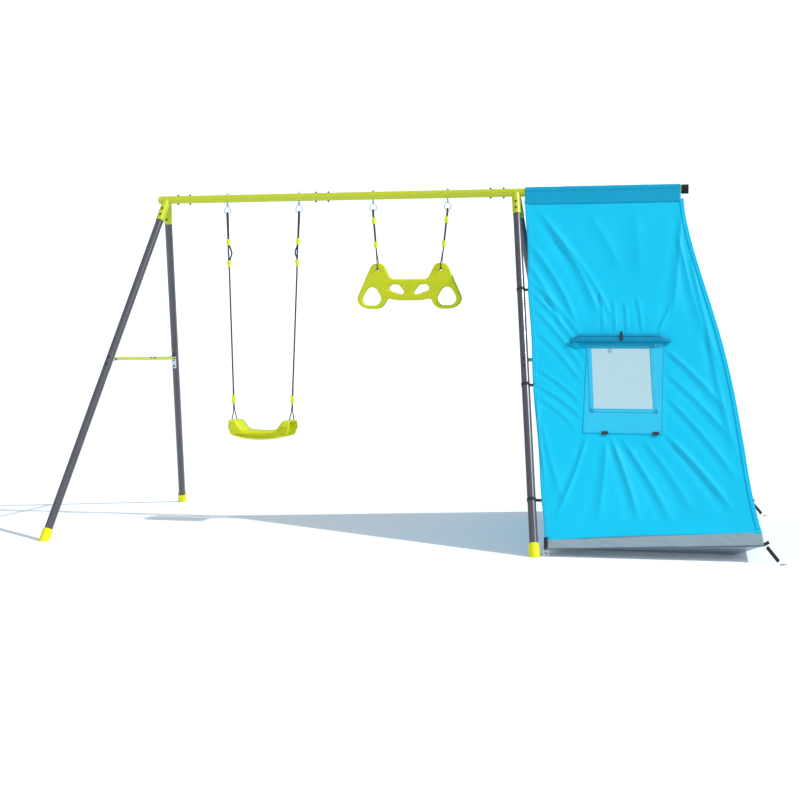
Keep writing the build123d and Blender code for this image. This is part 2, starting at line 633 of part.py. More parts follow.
with BuildPart() as trapeze_bar:
    with BuildSketch(BAR_PLANE):
        with BuildLine():
            outline, rounds = both_sides(BAR_SIDE, BAR_ROUND)
            FilletPolyline(*outline, radius=rounds, close=True)
        make_face()
    extrude(amount=BAR_THICK / 2, both=True)
    for mirror_x in (-1, 1):
        with BuildSketch(BAR_PLANE):
            with BuildLine():
                FilletPolyline(*[(mirror_x * x, z) for x, z in RING], radius=36, close=True)
            make_face()
        extrude(amount=BAR_THICK, both=True, mode=Mode.SUBTRACT)
        with BuildSketch(BAR_PLANE):
            with BuildLine():
                FilletPolyline(*[(mirror_x * x, z) for x, z in SLOT], radius=10, close=True)
            make_face()
        extrude(amount=BAR_THICK, both=True, mode=Mode.SUBTRACT)
        with Locations((BAR_X + mirror_x * BAR_HOLE_X, 0, BAR_HOLE_Z)):
            Cylinder(7, 2 * BAR_THICK, rotation=ALONG_Y, mode=Mode.SUBTRACT)
save(trapeze_bar, "trapeze_bar")


# ---- tent -------------------------------------------------------------------
WALL_DROP = sqrt((HEM_Y - RIDGE_Y) ** 2 + (RIDGE_Z - HEM_Z) ** 2) / (RIDGE_Z - HEM_Z)
RIGHT_EDGE = [(2912, WALL_TOP_Z), (2922, 1655), (3117, 990), (3201, 626), (3243, 350),
              (3298, RIM_RIGHT_Z)]


def left_edge_x(z):
    """X of the tent's left edge, which follows the right A-frame, from the left apex."""
    return RIDGE_LEFT + 4 + (HEM_LEFT - RIDGE_LEFT - 4) * (WALL_TOP_Z - z) / (WALL_TOP_Z - HEM_Z)


def wall_y(z):
    """Distance of a sloping wall from the ridge's plane at height z."""
    return RIDGE_Y + (HEM_Y - RIDGE_Y) * (RIDGE_Z - z) / (RIDGE_Z - HEM_Z)


def wall_plane(face, lift=0.0):
    """Workplane of a sloping wall's inner face, lifted outwards, with local X along the beam."""
    side = SIDE[face]
    normal = Vector(0, side * (RIDGE_Z - HEM_Z), HEM_Y - RIDGE_Y).normalized()
    origin = Vector(LEFT_APEX_X, side * RIDGE_Y, RIDGE_Z) + normal * lift
    return Plane(origin=origin, x_dir=(1, 0, 0), z_dir=normal)


def on_wall(face, x, z):
    """Local position on wall_plane of a point at x from the left apex and height z."""
    return (x, SIDE[face] * (RIDGE_Z - z) * WALL_DROP)


WALL_OUTLINE = [(left_edge_x(WALL_TOP_Z), WALL_TOP_Z), *RIGHT_EDGE, (HEM_LEFT, RIM_LEFT_Z)]
for face in SIDE:
    with BuildPart() as wall:
        with BuildSketch(wall_plane(face)):
            Polygon(*[on_wall(face, x, z) for x, z in WALL_OUTLINE], align=None)
            if face == "front":
                with Locations(on_wall(face, PANE_X, PANE_Z)):
                    Rectangle(PANE_W, PANE_H * WALL_DROP, mode=Mode.SUBTRACT)
        extrude(amount=CLOTH)
    save(wall, f"tent_{face}_wall")

with BuildPart() as window_pane:
    with BuildSketch(wall_plane("front")):
        with Locations(on_wall("front", PANE_X, PANE_Z)):
            Rectangle(PANE_W - 1, PANE_H * WALL_DROP - 1)
    extrude(amount=CLOTH)
save(window_pane, "window_pane")

COVER_LIFT = CLOTH + 3.0
with BuildPart() as window_cover:
    with BuildSketch(wall_plane("front", COVER_LIFT)):
        with Locations(on_wall("front", COVER_X, COVER_TOP_Z - COVER_H / 2)):
            Rectangle(COVER_W, COVER_H * WALL_DROP)
    extrude(amount=0.8)
save(window_cover, "window_cover")

ROLL_R = 17.0
ROLL_AT = on_wall("front", ROLL_X, COVER_TOP_Z + ROLL_R + 5)
with BuildPart() as window_flap_roll:
    with BuildSketch(wall_plane("front", CLOTH + ROLL_R + 0.5)):
        with Locations(ROLL_AT):
            Rectangle(ROLL_LENGTH, 2 * ROLL_R)
    extrude(amount=ROLL_R, both=True)
    fillet(window_flap_roll.edges().filter_by(Axis.X), ROLL_R - 2)
save(window_flap_roll, "window_flap_roll")

with BuildPart() as window_tabs:
    with BuildSketch(wall_plane("front", COVER_LIFT + 1.4)):
        with Locations(*[on_wall("front", x, TAB_Z) for x in TAB_XS]):
            Rectangle(32, 17)
    extrude(amount=2)
    with BuildSketch(wall_plane("front", CLOTH + 2 * ROLL_R + 1.2)):
        with Locations((ROLL_AT[0] + 8, ROLL_AT[1])):
            Rectangle(14, 54)
    extrude(amount=3)
save(window_tabs, "window_tabs")

SLEEVE_IN_R = BEAM_R + 2.3
with BuildPart() as tent_ridge_sleeve:
    with BuildSketch(Plane(origin=(at(RIDGE_LEFT), 0, 0), x_dir=(0, 1, 0), z_dir=(1, 0, 0))):
        for grow, mode in ((CLOTH, Mode.ADD), (0, Mode.SUBTRACT)):
            foot_y, cut = wall_y(SLEEVE_SKIRT_Z) + 3.5 + grow, 1 if grow == 0 else 0
            Polygon((-foot_y, SLEEVE_SKIRT_Z - cut), (-SLEEVE_IN_R - grow, BEAM_Z + 2),
                    (SLEEVE_IN_R + grow, BEAM_Z + 2), (foot_y, SLEEVE_SKIRT_Z - cut),
                    align=None, mode=mode)
            with Locations((0, BEAM_Z + 2)):
                Circle(SLEEVE_IN_R + grow, mode=mode)
    extrude(amount=RIDGE_RIGHT - RIDGE_LEFT - 18)
save(tent_ridge_sleeve, "tent_ridge_sleeve")


def ruled_side(edge, corners):
    """Adds a slab one cloth thick along an (x, z) edge, trimmed to a (y, z) polygon."""
    outline = [(at(x), z) for x, z in edge] + [(at(x) - CLOTH, z) for x, z in reversed(edge)]
    with BuildSketch(Plane.XZ) as profile:
        Polygon(*outline, align=None)
    with BuildSketch(Plane.YZ) as region:
        Polygon(*corners, align=None)
    slab = extrude(profile.sketch, amount=FOOT_Y, both=True, mode=Mode.PRIVATE)
    block = extrude(region.sketch, amount=4000, both=True, mode=Mode.PRIVATE)
    add(slab & block)


GAP = 1.0
LEFT_EDGE = [(left_edge_x(z) + CLOTH, z) for z in (WALL_TOP_Z, RIM_LEFT_Z + GAP)]
with BuildPart() as tent_left_wall:
    low_y, high_y = wall_y(RIM_LEFT_Z) - GAP, wall_y(WALL_TOP_Z) - GAP
    ruled_side(LEFT_EDGE, [(-low_y, RIM_LEFT_Z + GAP), (-high_y, WALL_TOP_Z),
                           (high_y, WALL_TOP_Z), (low_y, RIM_LEFT_Z + GAP)])
save(tent_left_wall, "tent_left_wall")

DOOR_TOP_Z = 1690.0
with BuildPart() as tent_end_panels:
    for side in SIDE.values():
        ruled_side(RIGHT_EDGE, [(side * (wall_y(RIM_RIGHT_Z) - GAP), RIM_RIGHT_Z + GAP),
                                (side * (wall_y(WALL_TOP_Z) - GAP), WALL_TOP_Z),
                                (side * GAP, WALL_TOP_Z), (side * GAP, DOOR_TOP_Z),
                                (side * DOOR_INNER_Y, RIM_RIGHT_Z + GAP)])
save(tent_end_panels, "tent_end_panels")

FLAP_R, FLAP_ZS = 24.0, (1480.0, 185.0)


def flap_point(face, z):
    """A point on the axis of a rolled door flap, just behind the end panel's inner edge."""
    inner_y = DOOR_INNER_Y * (DOOR_TOP_Z - z) / (DOOR_TOP_Z - RIM_RIGHT_Z)
    edge_x = HEM_RIGHT - (HEM_RIGHT - 2912) * (z - HEM_Z) / (WALL_TOP_Z - HEM_Z)
    return Vector(at(edge_x - FLAP_R - 20), SIDE[face] * (inner_y + FLAP_R + 20), z)


def flap_ends(face):
    """Top and bottom of a rolled door flap's axis."""
    return [flap_point(face, z) for z in FLAP_ZS]


with BuildPart() as door_flap_rolls:
    for face in SIDE:
        high, low = flap_ends(face)
        with Locations(Plane(origin=high, z_dir=(low - high).normalized())):
            Cylinder(FLAP_R, (low - high).length, align=ALIGN_LOW)
save(door_flap_rolls, "door_flap_rolls")

FLAP_TIES = (0.18, 0.5, 0.82)
with BuildPart() as door_flap_ties:
    for face in SIDE:
        high, low = flap_ends(face)
        for share in FLAP_TIES:
            with Locations(Plane(origin=high + (low - high) * share,
                                 z_dir=(low - high).normalized())):
                Cylinder(FLAP_R + 2.5, 20)
                Cylinder(FLAP_R + CLEAR, 22, mode=Mode.SUBTRACT)
save(door_flap_ties, "door_flap_ties")


# ---- groundsheet tub ----------------------------------------------------------
SKIRT_GAP, SHEET = 1.0, CLOTH + 1
with BuildPart() as groundsheet:
    with Locations((at((FLOOR_LEFT + FLOOR_RIGHT) / 2), 0, 0)):
        Box(FLOOR_RIGHT - FLOOR_LEFT, 2 * FLOOR_Y, SHEET, align=ALIGN_LOW)
    for side in SIDE.values():
        ends = []
        for x, seam in ((FLOOR_LEFT, SEAM_LEFT_Z), (FLOOR_RIGHT, SEAM_RIGHT_Z)):
            with BuildSketch(Plane(origin=(at(x), 0, 0), x_dir=(0, 1, 0), z_dir=(1, 0, 0))) as end:
                inner_y, outer_y = side * (FLOOR_Y + SKIRT_GAP), side * wall_y(seam)
                Polygon((inner_y, 0), (inner_y, SHEET), (outer_y, seam), (outer_y, seam - SHEET),
                        align=None)
            ends.append(end.sketch)
        loft(ends)
    for floor_x, seam_x, seam in ((FLOOR_LEFT - SKIRT_GAP, HEM_LEFT + 6, SEAM_LEFT_Z),
                                  (FLOOR_RIGHT + SKIRT_GAP, HEM_RIGHT - 8, SEAM_RIGHT_Z)):
        with BuildSketch(Plane.XZ) as end:
            Polygon((at(floor_x), 0), (at(floor_x), SHEET), (at(seam_x), seam),
                    (at(seam_x), seam - SHEET), align=None)
        extrude(end.sketch, amount=FLOOR_Y, both=True)
save(groundsheet, "groundsheet")

TUB_ENDS = {
    "left": (HEM_LEFT + 6, SEAM_LEFT_Z, RIM_LEFT_Z, 0),
    "right": (HEM_RIGHT - 8, SEAM_RIGHT_Z, RIM_RIGHT_Z, -8),
}

with BuildPart() as tub_bands:
    for face in SIDE:
        with BuildSketch(wall_plane(face)) as band:
            Polygon(*[on_wall(face, x, z) for x, z in (
                (HEM_LEFT, SEAM_LEFT_Z + GAP), (HEM_RIGHT + 3, SEAM_RIGHT_Z + GAP),
                (RIGHT_EDGE[-1][0], RIM_RIGHT_Z - GAP), (HEM_LEFT, RIM_LEFT_Z - GAP))], align=None)
        extrude(band.sketch, amount=CLOTH)
    for seam_x, seam, rim, lean_in in TUB_ENDS.values():
        with BuildSketch(Plane.XZ) as band:
            top_x = seam_x + lean_in
            Polygon((at(seam_x), seam + GAP), (at(top_x), rim - GAP), (at(top_x) - CLOTH, rim - GAP),
                    (at(seam_x) - CLOTH, seam + GAP), align=None)
        extrude(band.sketch, amount=wall_y(rim) - 3, both=True)
save(tub_bands, "tub_bands")

# ---- ties, corner straps and ground rings -------------------------------------
# The straps are sewn to the tub band, so the pair overlaps a little there.
TIE_H, TIE_T = 16.0, 2.2
with BuildPart() as leg_ties:
    for face, side in SIDE.items():
        for z in TIE_ZS:
            with Locations(leg_point("right", face, along("right", z))):
                Cylinder(LEG_R + TIE_T, TIE_H)
                Cylinder(LEG_R + CLEAR, TIE_H + 2, mode=Mode.SUBTRACT)
            leg_x = RIGHT_APEX_X + RIGHT_SPLAY * (BEAM_Z - z) / BEAM_Z
            start, stop = leg_x + LEG_R + 1.6, at(left_edge_x(z)) - 1
            with Locations(((start + stop) / 2, side * (wall_y(z) + 1), z)):
                Box(stop - start, 3, TIE_H - 2)
save(leg_ties, "leg_ties")

RING_R, RING_WIRE = 13.0, 2.5
RING_AT = at(3374) + RING_R + 2
# Each strap's upper and lower end, and the direction that its narrow edge faces.
CORNERS = {
    "right": (Vector(at(HEM_RIGHT) + 8, HEM_Y + 16, HEM_Z - 2), Vector(at(3368), 1004, 15),
              Vector(0, 0, 1)),
    "left": (Vector(at(HEM_LEFT) + 6, HEM_Y + 18, 92), Vector(at(HEM_LEFT) + 7, HEM_Y + 24, 33),
             Vector(1, 0, 0)),
}
STRAP_W = 18.0
with BuildPart() as corner_straps:
    for top, low, edge in CORNERS.values():
        for side in SIDE.values():
            start, stop = (Vector(p.X, side * p.Y, p.Z) for p in (top, low))
            run = stop - start
            middle = Plane(origin=(start + stop) * 0.5, x_dir=run.normalized(),
                           z_dir=run.cross(edge).normalized())
            with Locations(middle):
                Box(run.length, STRAP_W, 2.4)
    for side in SIDE.values():
        with Locations((at(HEM_RIGHT) + 6, side * (HEM_Y + 16), HEM_Z + 14)):
            Cylinder(8, 26, rotation=(0, 60, 0))
save(corner_straps, "corner_straps")

with BuildPart() as ground_rings:
    for side in SIDE.values():
        with Locations((RING_AT, side * 1008, RING_WIRE)):
            Torus(RING_R, RING_WIRE)
        with Locations((at(HEM_LEFT) + 7, side * (HEM_Y + 26), RING_R + RING_WIRE)):
            Torus(RING_R, RING_WIRE, rotation=ALONG_Y)
save(ground_rings, "ground_rings")
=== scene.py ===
"""Looks of a garden swing set: a steel beam on two A-frames with a moulded seat
swing and a ring trapeze, running on as the ridge of a small play tent."""

import json
import logging
import math
from collections.abc import Callable
from dataclasses import dataclass
from enum import Enum

import bpy
import numpy as np
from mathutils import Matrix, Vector
from mathutils.geometry import tessellate_polygon


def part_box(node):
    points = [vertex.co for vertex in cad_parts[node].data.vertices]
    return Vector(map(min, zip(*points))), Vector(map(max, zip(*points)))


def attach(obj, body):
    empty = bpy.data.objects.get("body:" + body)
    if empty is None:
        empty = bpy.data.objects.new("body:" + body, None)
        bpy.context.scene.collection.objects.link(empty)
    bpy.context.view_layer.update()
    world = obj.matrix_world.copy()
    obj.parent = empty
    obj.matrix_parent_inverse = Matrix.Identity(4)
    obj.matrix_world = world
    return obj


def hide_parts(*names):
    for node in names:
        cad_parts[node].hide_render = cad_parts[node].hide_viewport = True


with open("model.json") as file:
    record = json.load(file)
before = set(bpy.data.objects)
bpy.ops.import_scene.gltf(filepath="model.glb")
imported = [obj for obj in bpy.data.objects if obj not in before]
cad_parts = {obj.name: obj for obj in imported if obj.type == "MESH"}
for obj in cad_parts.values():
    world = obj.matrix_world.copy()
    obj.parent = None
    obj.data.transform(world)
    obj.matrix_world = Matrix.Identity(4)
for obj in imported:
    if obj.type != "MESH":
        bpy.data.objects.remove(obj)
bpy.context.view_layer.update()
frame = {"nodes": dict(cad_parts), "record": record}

MM = 0.001
LOG = logging.getLogger("swing_set")

# Everything along the beam is measured from the left apex, 48 mm inside the end plug.
LEFT_APEX_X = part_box("left_end_plug")[0][0] + 0.048

Array = np.ndarray
Material = bpy.types.Material
Piece = bpy.types.Object


def at(x: float | Array) -> float | Array:
    """Model X of a distance in metres from the left apex."""
    return LEFT_APEX_X + x


# ---- colour and shader helpers ---------------------------------------------------
def linear(code: str) -> tuple[float, float, float, float]:
    """Turns an sRGB hex code into the linear colour a shader takes.

    Args:
        code: six hex digits after a #.

    Returns:
        Linear red, green and blue, and an alpha of 1.
    """
    parts = [int(code[i:i + 2], 16) / 255 for i in (1, 3, 5)]
    low = [p / 12.92 if p <= 0.04045 else ((p + 0.055) / 1.055) ** 2.4 for p in parts]
    return (*low, 1.0)


class Surface:
    """One material under construction: a Principled shader and the nodes that feed it."""

    def __init__(self, name: str) -> None:
        """Makes an empty material with its Principled shader."""
        self.material = bpy.data.materials.new(name)
        self.material.use_nodes = True
        self.tree = self.material.node_tree
        self.shader = self.tree.nodes["Principled BSDF"]

    def add(self, kind: str, inputs: dict | None = None, **settings: object) -> bpy.types.Node:
        """Adds a node with its settings, values and links.

        Args:
            kind: the node's type.
            inputs: input name or index to a value, or to the socket that feeds it.
            settings: the node's own properties.

        Returns:
            The new node.
        """
        node = self.tree.nodes.new(kind)
        for key, value in settings.items():
            setattr(node, key, value)
        self.feed(node, inputs or {})
        return node

    def feed(self, node: bpy.types.Node, inputs: dict) -> None:
        """Sets a node's inputs to values, or links them to sockets."""
        for key, value in inputs.items():
            if isinstance(value, bpy.types.NodeSocket):
                self.tree.links.new(value, node.inputs[key])
            else:
                node.inputs[key].default_value = value


# ---- finishes ----------------------------------------------------------------------
@dataclass(frozen=True)
class PowderCoat:
    """Polyester powder baked on steel tube: an even colour with a faint orange peel."""

    name: str
    colour: str
    shade: str
    roughness: float
    coat: float
    peel: float = 2.2 * MM          # width of one dimple of the peel

    def material(self) -> Material:
        """Builds the paint, a little darker and duller in patches where hands rub it."""
        s = Surface(self.name)
        place = s.add("ShaderNodeTexCoord").outputs["Object"]
        rub = s.add("ShaderNodeTexNoise", {"Vector": place, "Scale": 9.0, "Detail": 5.0})
        tone = s.add("ShaderNodeMix", {0: rub.outputs["Fac"], 6: linear(self.colour),
                                       7: linear(self.shade)}, data_type="RGBA")
        dull = s.add("ShaderNodeMapRange", {"Value": rub.outputs["Fac"], 1: 0.3, 2: 0.7,
                                            3: self.roughness * 0.85, 4: self.roughness * 1.2})
        peel = s.add("ShaderNodeTexNoise", {"Vector": place, "Scale": 1 / self.peel})
        bump = s.add("ShaderNodeBump", {"Height": peel.outputs["Fac"], "Strength": 0.04,
                                        "Distance": 0.04 * MM})
        s.feed(s.shader, {"Base Color": tone.outputs[2], "Roughness": dull.outputs["Result"],
                          "Normal": bump.outputs["Normal"], "Coat Weight": self.coat,
                          "Coat Roughness": 0.12})
        return s.material


@dataclass(frozen=True)
class ZincPlate:
    """Bright zinc on cold-drawn steel wire: pale blue-white, with fine drawing lines."""

    name: str = "bright_zinc_plate"
    colour: str = "#C6D0D8"
    grain: float = 0.7 * MM         # spacing of the drawing lines

    def material(self) -> Material:
        """Builds the metal, its roughness broken by lines and by duller blooms."""
        s = Surface(self.name)
        place = s.add("ShaderNodeTexCoord").outputs["Object"]
        bloom = s.add("ShaderNodeTexNoise", {"Vector": place, "Scale": 120.0, "Detail": 3.0})
        lines = s.add("ShaderNodeTexNoise", {"Vector": place, "Scale": 1 / self.grain})
        rough = s.add("ShaderNodeMapRange", {"Value": bloom.outputs["Fac"], 3: 0.2, 4: 0.42})
        bump = s.add("ShaderNodeBump", {"Height": lines.outputs["Fac"], "Strength": 0.2,
                                        "Distance": 0.05 * MM})
        s.feed(s.shader, {"Base Color": linear(self.colour), "Metallic": 1.0,
                          "Roughness": rough.outputs["Result"], "Normal": bump.outputs["Normal"]})
        return s.material


@dataclass(frozen=True)
class MouldedPlastic:
    """Polyethylene or nylon from a spark-eroded mould: soft gloss over a fine grain."""

    name: str
    colour: str
    shade: str
    roughness: float = 0.36
    grain: float = 1.6 * MM         # real grain is near 0.3 mm, drawn coarser so that it shows

    def material(self) -> Material:
        """Builds the plastic: grain, slight sink ripples and a faintly cloudy colour."""
        s = Surface(self.name)
        place = s.add("ShaderNodeTexCoord").outputs["Object"]
        cloud = s.add("ShaderNodeTexNoise", {"Vector": place, "Scale": 14.0, "Detail": 4.0})
        tone = s.add("ShaderNodeMix", {0: cloud.outputs["Fac"], 6: linear(self.colour),
                                       7: linear(self.shade)}, data_type="RGBA")
        cells = s.add("ShaderNodeTexVoronoi", {"Vector": place, "Scale": 1 / self.grain})
        bump = s.add("ShaderNodeBump", {"Height": cells.outputs["Distance"], "Strength": 0.05,
                                        "Distance": 0.15 * MM})
        rough = s.add("ShaderNodeMapRange", {"Value": cloud.outputs["Fac"], 1: 0.3, 2: 0.7,
                                             3: self.roughness * 0.85, 4: self.roughness * 1.25})
        s.feed(s.shader, {"Base Color": tone.outputs[2], "Roughness": rough.outputs["Result"],
                          "Normal": bump.outputs["Normal"], "Specular IOR Level": 0.28,
                          "Subsurface Weight": 0.04, "Subsurface Scale": 4 * MM})
        return s.material


@dataclass(frozen=True)
class CoatedCloth:
    """Plain-woven polyester with a proofing coat: satin, finely woven, softly crumpled."""

    name: str
    colour: str
    shade: str
    roughness: float = 0.5
    thread: float = 1.4 * MM        # real threads are 0.25 mm apart, drawn coarser to show
    crumple: float = 1.0            # height of the crumples, in millimetres
    stitched: float = 0.0           # width of a strip stitched along both edges, or 0

    def material(self) -> Material:
        """Builds the cloth on the piece's own UV map, which is in metres of cloth."""
        s = Surface(self.name)
        flat = s.add("ShaderNodeTexCoord").outputs["UV"]
        cloud = s.add("ShaderNodeTexNoise", {"Vector": flat, "Scale": 3.5, "Detail": 6.0})
        tone = s.add("ShaderNodeMix", {0: cloud.outputs["Fac"], 6: linear(self.colour),
                                       7: linear(self.shade)}, data_type="RGBA")
        # Wave spacing in Blender's texture is pi / 10 over its scale.
        turns = math.pi / 10 / self.thread
        warp = s.add("ShaderNodeTexWave", {"Vector": flat, "Scale": turns}, bands_direction="X")
        weft = s.add("ShaderNodeTexWave", {"Vector": flat, "Scale": turns}, bands_direction="Y")
        weave = s.add("ShaderNodeMath", {0: warp.outputs["Fac"], 1: weft.outputs["Fac"]},
                      operation="MULTIPLY")
        fine = s.add("ShaderNodeBump", {"Height": weave.outputs[0], "Strength": 0.35,
                                        "Distance": 0.12 * MM})
        soft = s.add("ShaderNodeTexNoise", {"Vector": flat, "Scale": 22.0, "Detail": 4.0,
                                            "Distortion": 0.6})
        bump = s.add("ShaderNodeBump", {"Height": soft.outputs["Fac"], "Strength": 0.35,
                                        "Distance": self.crumple * MM,
                                        "Normal": fine.outputs["Normal"]})
        colour, normal = tone.outputs[2], bump.outputs["Normal"]
        if self.stitched:
            colour = self.stitches(s, flat, colour)
        s.feed(s.shader, {"Base Color": colour, "Roughness": self.roughness,
                          "Normal": normal, "Sheen Weight": 0.03, "Sheen Roughness": 0.4,
                          "Specular IOR Level": 0.22})
        return s.material

    def stitches(self, s: Surface, flat: bpy.types.NodeSocket,
                 colour: bpy.types.NodeSocket) -> bpy.types.NodeSocket:
        """Draws a row of darker lock-stitches 4 mm inside each edge of a strip.

        Args:
            s: the material being built.
            flat: the UV socket, U across the strip from its middle, V along it.
            colour: the cloth's colour under the thread.

        Returns:
            The colour with its stitches.
        """
        axes = s.add("ShaderNodeSeparateXYZ", {0: flat})
        across = s.add("ShaderNodeMath", {0: axes.outputs["X"]}, operation="ABSOLUTE")
        row = s.add("ShaderNodeMath", {0: across.outputs[0], 1: self.stitched / 2 - 4 * MM,
                                       2: 1.0 * MM}, operation="COMPARE")
        pace = s.add("ShaderNodeMath", {0: axes.outputs["Y"], 1: 9 * MM}, operation="PINGPONG")
        dash = s.add("ShaderNodeMath", {0: pace.outputs[0], 1: 3.2 * MM}, operation="GREATER_THAN")
        mark = s.add("ShaderNodeMath", {0: row.outputs[0], 1: dash.outputs[0]},
                     operation="MULTIPLY")
        sewn = s.add("ShaderNodeMix", {0: mark.outputs[0], 6: colour, 7: linear("#0A6E93")},
                     data_type="RGBA")
        return sewn.outputs[2]


@dataclass(frozen=True)
class ClearSheet:
    """Calendered soft vinyl film: glossy, nearly clear or milky, a little wavy."""

    name: str
    colour: str
    alpha: float
    roughness: float
    ripple: float = 1.2

    def material(self) -> Material:
        """Builds the film with the long shallow waves that catch the light."""
        s = Surface(self.name)
        flat = s.add("ShaderNodeTexCoord").outputs["UV"]
        wave = s.add("ShaderNodeTexNoise", {"Vector": flat, "Scale": 9.0, "Detail": 2.0,
                                            "Distortion": 1.4})
        bump = s.add("ShaderNodeBump", {"Height": wave.outputs["Fac"], "Strength": 0.5,
                                        "Distance": self.ripple * MM})
        s.feed(s.shader, {"Base Color": linear(self.colour), "Alpha": self.alpha,
                          "Roughness": self.roughness, "Normal": bump.outputs["Normal"],
                          "Specular IOR Level": 0.7, "Coat Weight": 0.5, "Coat Roughness": 0.05})
        return s.material


@dataclass(frozen=True)
class Webbing:
    """Black polypropylene webbing: dull, with ribs 2 mm apart."""

    name: str = "black_webbing_weave"
    colour: str = "#121316"
    shade: str = "#26282C"
    rib: float = 2.0 * MM

    def material(self) -> Material:
        """Builds the ribs in Object coordinates, so that they run round any strap."""
        s = Surface(self.name)
        place = s.add("ShaderNodeTexCoord").outputs["Object"]
        turns = math.pi / 10 / self.rib
        ribs = s.add("ShaderNodeTexWave", {"Vector": place, "Scale": turns,
                                           "Distortion": 0.6}, bands_direction="DIAGONAL")
        tone = s.add("ShaderNodeMix", {0: ribs.outputs["Fac"], 6: linear(self.colour),
                                       7: linear(self.shade)}, data_type="RGBA")
        bump = s.add("ShaderNodeBump", {"Height": ribs.outputs["Fac"], "Strength": 0.6,
                                        "Distance": 0.3 * MM})
        s.feed(s.shader, {"Base Color": tone.outputs[2], "Roughness": 0.8,
                          "Normal": bump.outputs["Normal"], "Sheen Weight": 0.2})
        return s.material


@dataclass(frozen=True)
class RopeYarn:
    """Braided polyester rope: matt yarn, one lighter tracer among the dark ones."""

    name: str = "braided_rope_yarn"
    colour: str = "#1B1E22"
    shade: str = "#34393F"

    def material(self) -> Material:
        """Builds fibre streaks on the rope's UV map, U round it and V along it, in metres."""
        s = Surface(self.name)
        flat = s.add("ShaderNodeTexCoord").outputs["UV"]
        squeeze = s.add("ShaderNodeMapping", {"Vector": flat, "Scale": (1.0, 0.35, 1.0)})
        fibre = s.add("ShaderNodeTexNoise", {"Vector": squeeze.outputs[0], "Scale": 900.0,
                                             "Detail": 3.0})
        tone = s.add("ShaderNodeMix", {0: fibre.outputs["Fac"], 6: linear(self.colour),
                                       7: linear(self.shade)}, data_type="RGBA")
        bump = s.add("ShaderNodeBump", {"Height": fibre.outputs["Fac"], "Strength": 0.5,
                                        "Distance": 0.15 * MM})
        s.feed(s.shader, {"Base Color": tone.outputs[2], "Roughness": 0.82,
                          "Normal": bump.outputs["Normal"], "Sheen Weight": 0.08})
        return s.material


@dataclass(frozen=True)
class StudioFloor:
    """Painted floor: pale, matt and even."""

    name: str = "pale_floor"
    colour: str = "#F4F6F8"

    def material(self) -> Material:
        """Builds the paint with a barely visible mottle."""
        s = Surface(self.name)
        place = s.add("ShaderNodeTexCoord").outputs["Object"]
        mottle = s.add("ShaderNodeTexNoise", {"Vector": place, "Scale": 1.5})
        tone = s.add("ShaderNodeMix", {0: mottle.outputs["Fac"], 6: linear(self.colour),
                                       7: linear("#EEF1F4")}, data_type="RGBA")
        s.feed(s.shader, {"Base Color": tone.outputs[2], "Roughness": 0.9,
                          "Emission Color": linear("#D2E6F2"), "Emission Strength": 0.12})
        return s.material


class Finish(Enum):
    """Every finish on the set, each built once."""

    LIME_COAT = PowderCoat("lime_powder_coat_gloss", "#C2CC08", "#B6C206", 0.3, 0.3)
    LEG_COAT = PowderCoat("anthracite_powder_coat_satin", "#535156", "#444247", 0.32, 0.35)
    BOLT_COAT = PowderCoat("black_zinc_bolt", "#1C1C1E", "#2A2A2C", 0.45, 0.0)
    ZINC = ZincPlate()
    LIME_PLASTIC = MouldedPlastic("lime_blow_moulded_polyethylene", "#D0D60C", "#C4CC0A", 0.42)
    YELLOW_PLASTIC = MouldedPlastic("yellow_lime_moulded_nylon", "#E2E416", "#D8DC12", 0.32)
    BLACK_PLASTIC = MouldedPlastic("black_moulded_nylon", "#141416", "#202024", 0.5)
    WALL_CLOTH = CoatedCloth("cyan_proofed_polyester", "#02C2E6", "#02B8DC")
    HEM_CLOTH = CoatedCloth("cyan_stitched_hem", "#03C2E6", "#03B8DC", stitched=22 * MM)
    # The sleeve is the walls' own cloth painted darker: painted shade on the ridge band.
    SLEEVE_CLOTH = CoatedCloth("cyan_ridge_sleeve_painted_shade", "#039DC2", "#0394B8")
    # The rolled flap is the walls' own cloth painted darker: painted shade in the roll.
    FLAP_CLOTH = CoatedCloth("cyan_rolled_flap_painted_shade", "#0393B8", "#038AAE")
    TUB_CLOTH = CoatedCloth("grey_laminated_polyethylene", "#93A4AB", "#86989F", 0.38,
                            crumple=2.0)
    PIPING = CoatedCloth("dark_grey_piping", "#5C6C72", "#50606A", 0.5)
    PANE_FILM = ClearSheet("milky_vinyl_pane", "#BAD6DC", 0.95, 0.22)
    COVER_FILM = ClearSheet("clear_vinyl_cover", "#B8E6F0", 0.03, 0.04)
    WEBBING = Webbing()
    ROPE = RopeYarn()
    FLOOR = StudioFloor()

    @property
    def made(self) -> Material:
        """The finish's material, built on first use."""
        return bpy.data.materials.get(self.value.name) or self.value.material()


# ---- mesh helpers --------------------------------------------------------------------
def mesh_piece(name: str, points: Array, faces: Array, uv: Array | None = None) -> Piece:
    """Makes a smooth-shaded object at the origin from whole arrays.

    Args:
        name: the object's name.
        points: vertices, n by 3, in metres.
        faces: corner indices, m by 3 or m by 4.
        uv: a point of cloth for each vertex, n by 2, in metres.

    Returns:
        The new object, linked to the scene.
    """
    count, sides = faces.shape
    mesh = bpy.data.meshes.new(name)
    mesh.vertices.add(len(points))
    mesh.vertices.foreach_set("co", np.ascontiguousarray(points, np.float32).ravel())
    mesh.loops.add(count * sides)
    mesh.loops.foreach_set("vertex_index", np.ascontiguousarray(faces, np.int32).ravel())
    mesh.polygons.add(count)
    mesh.polygons.foreach_set("loop_start", np.arange(0, count * sides, sides, dtype=np.int32))
    if uv is not None:
        layer = mesh.uv_layers.new(name="UVMap")
        layer.data.foreach_set("uv", np.ascontiguousarray(uv[faces.ravel()], np.float32).ravel())
    mesh.update(calc_edges=True)
    mesh.validate()
    mesh.shade_smooth()
    piece = bpy.data.objects.new(name, mesh)
    bpy.context.scene.collection.objects.link(piece)
    return piece


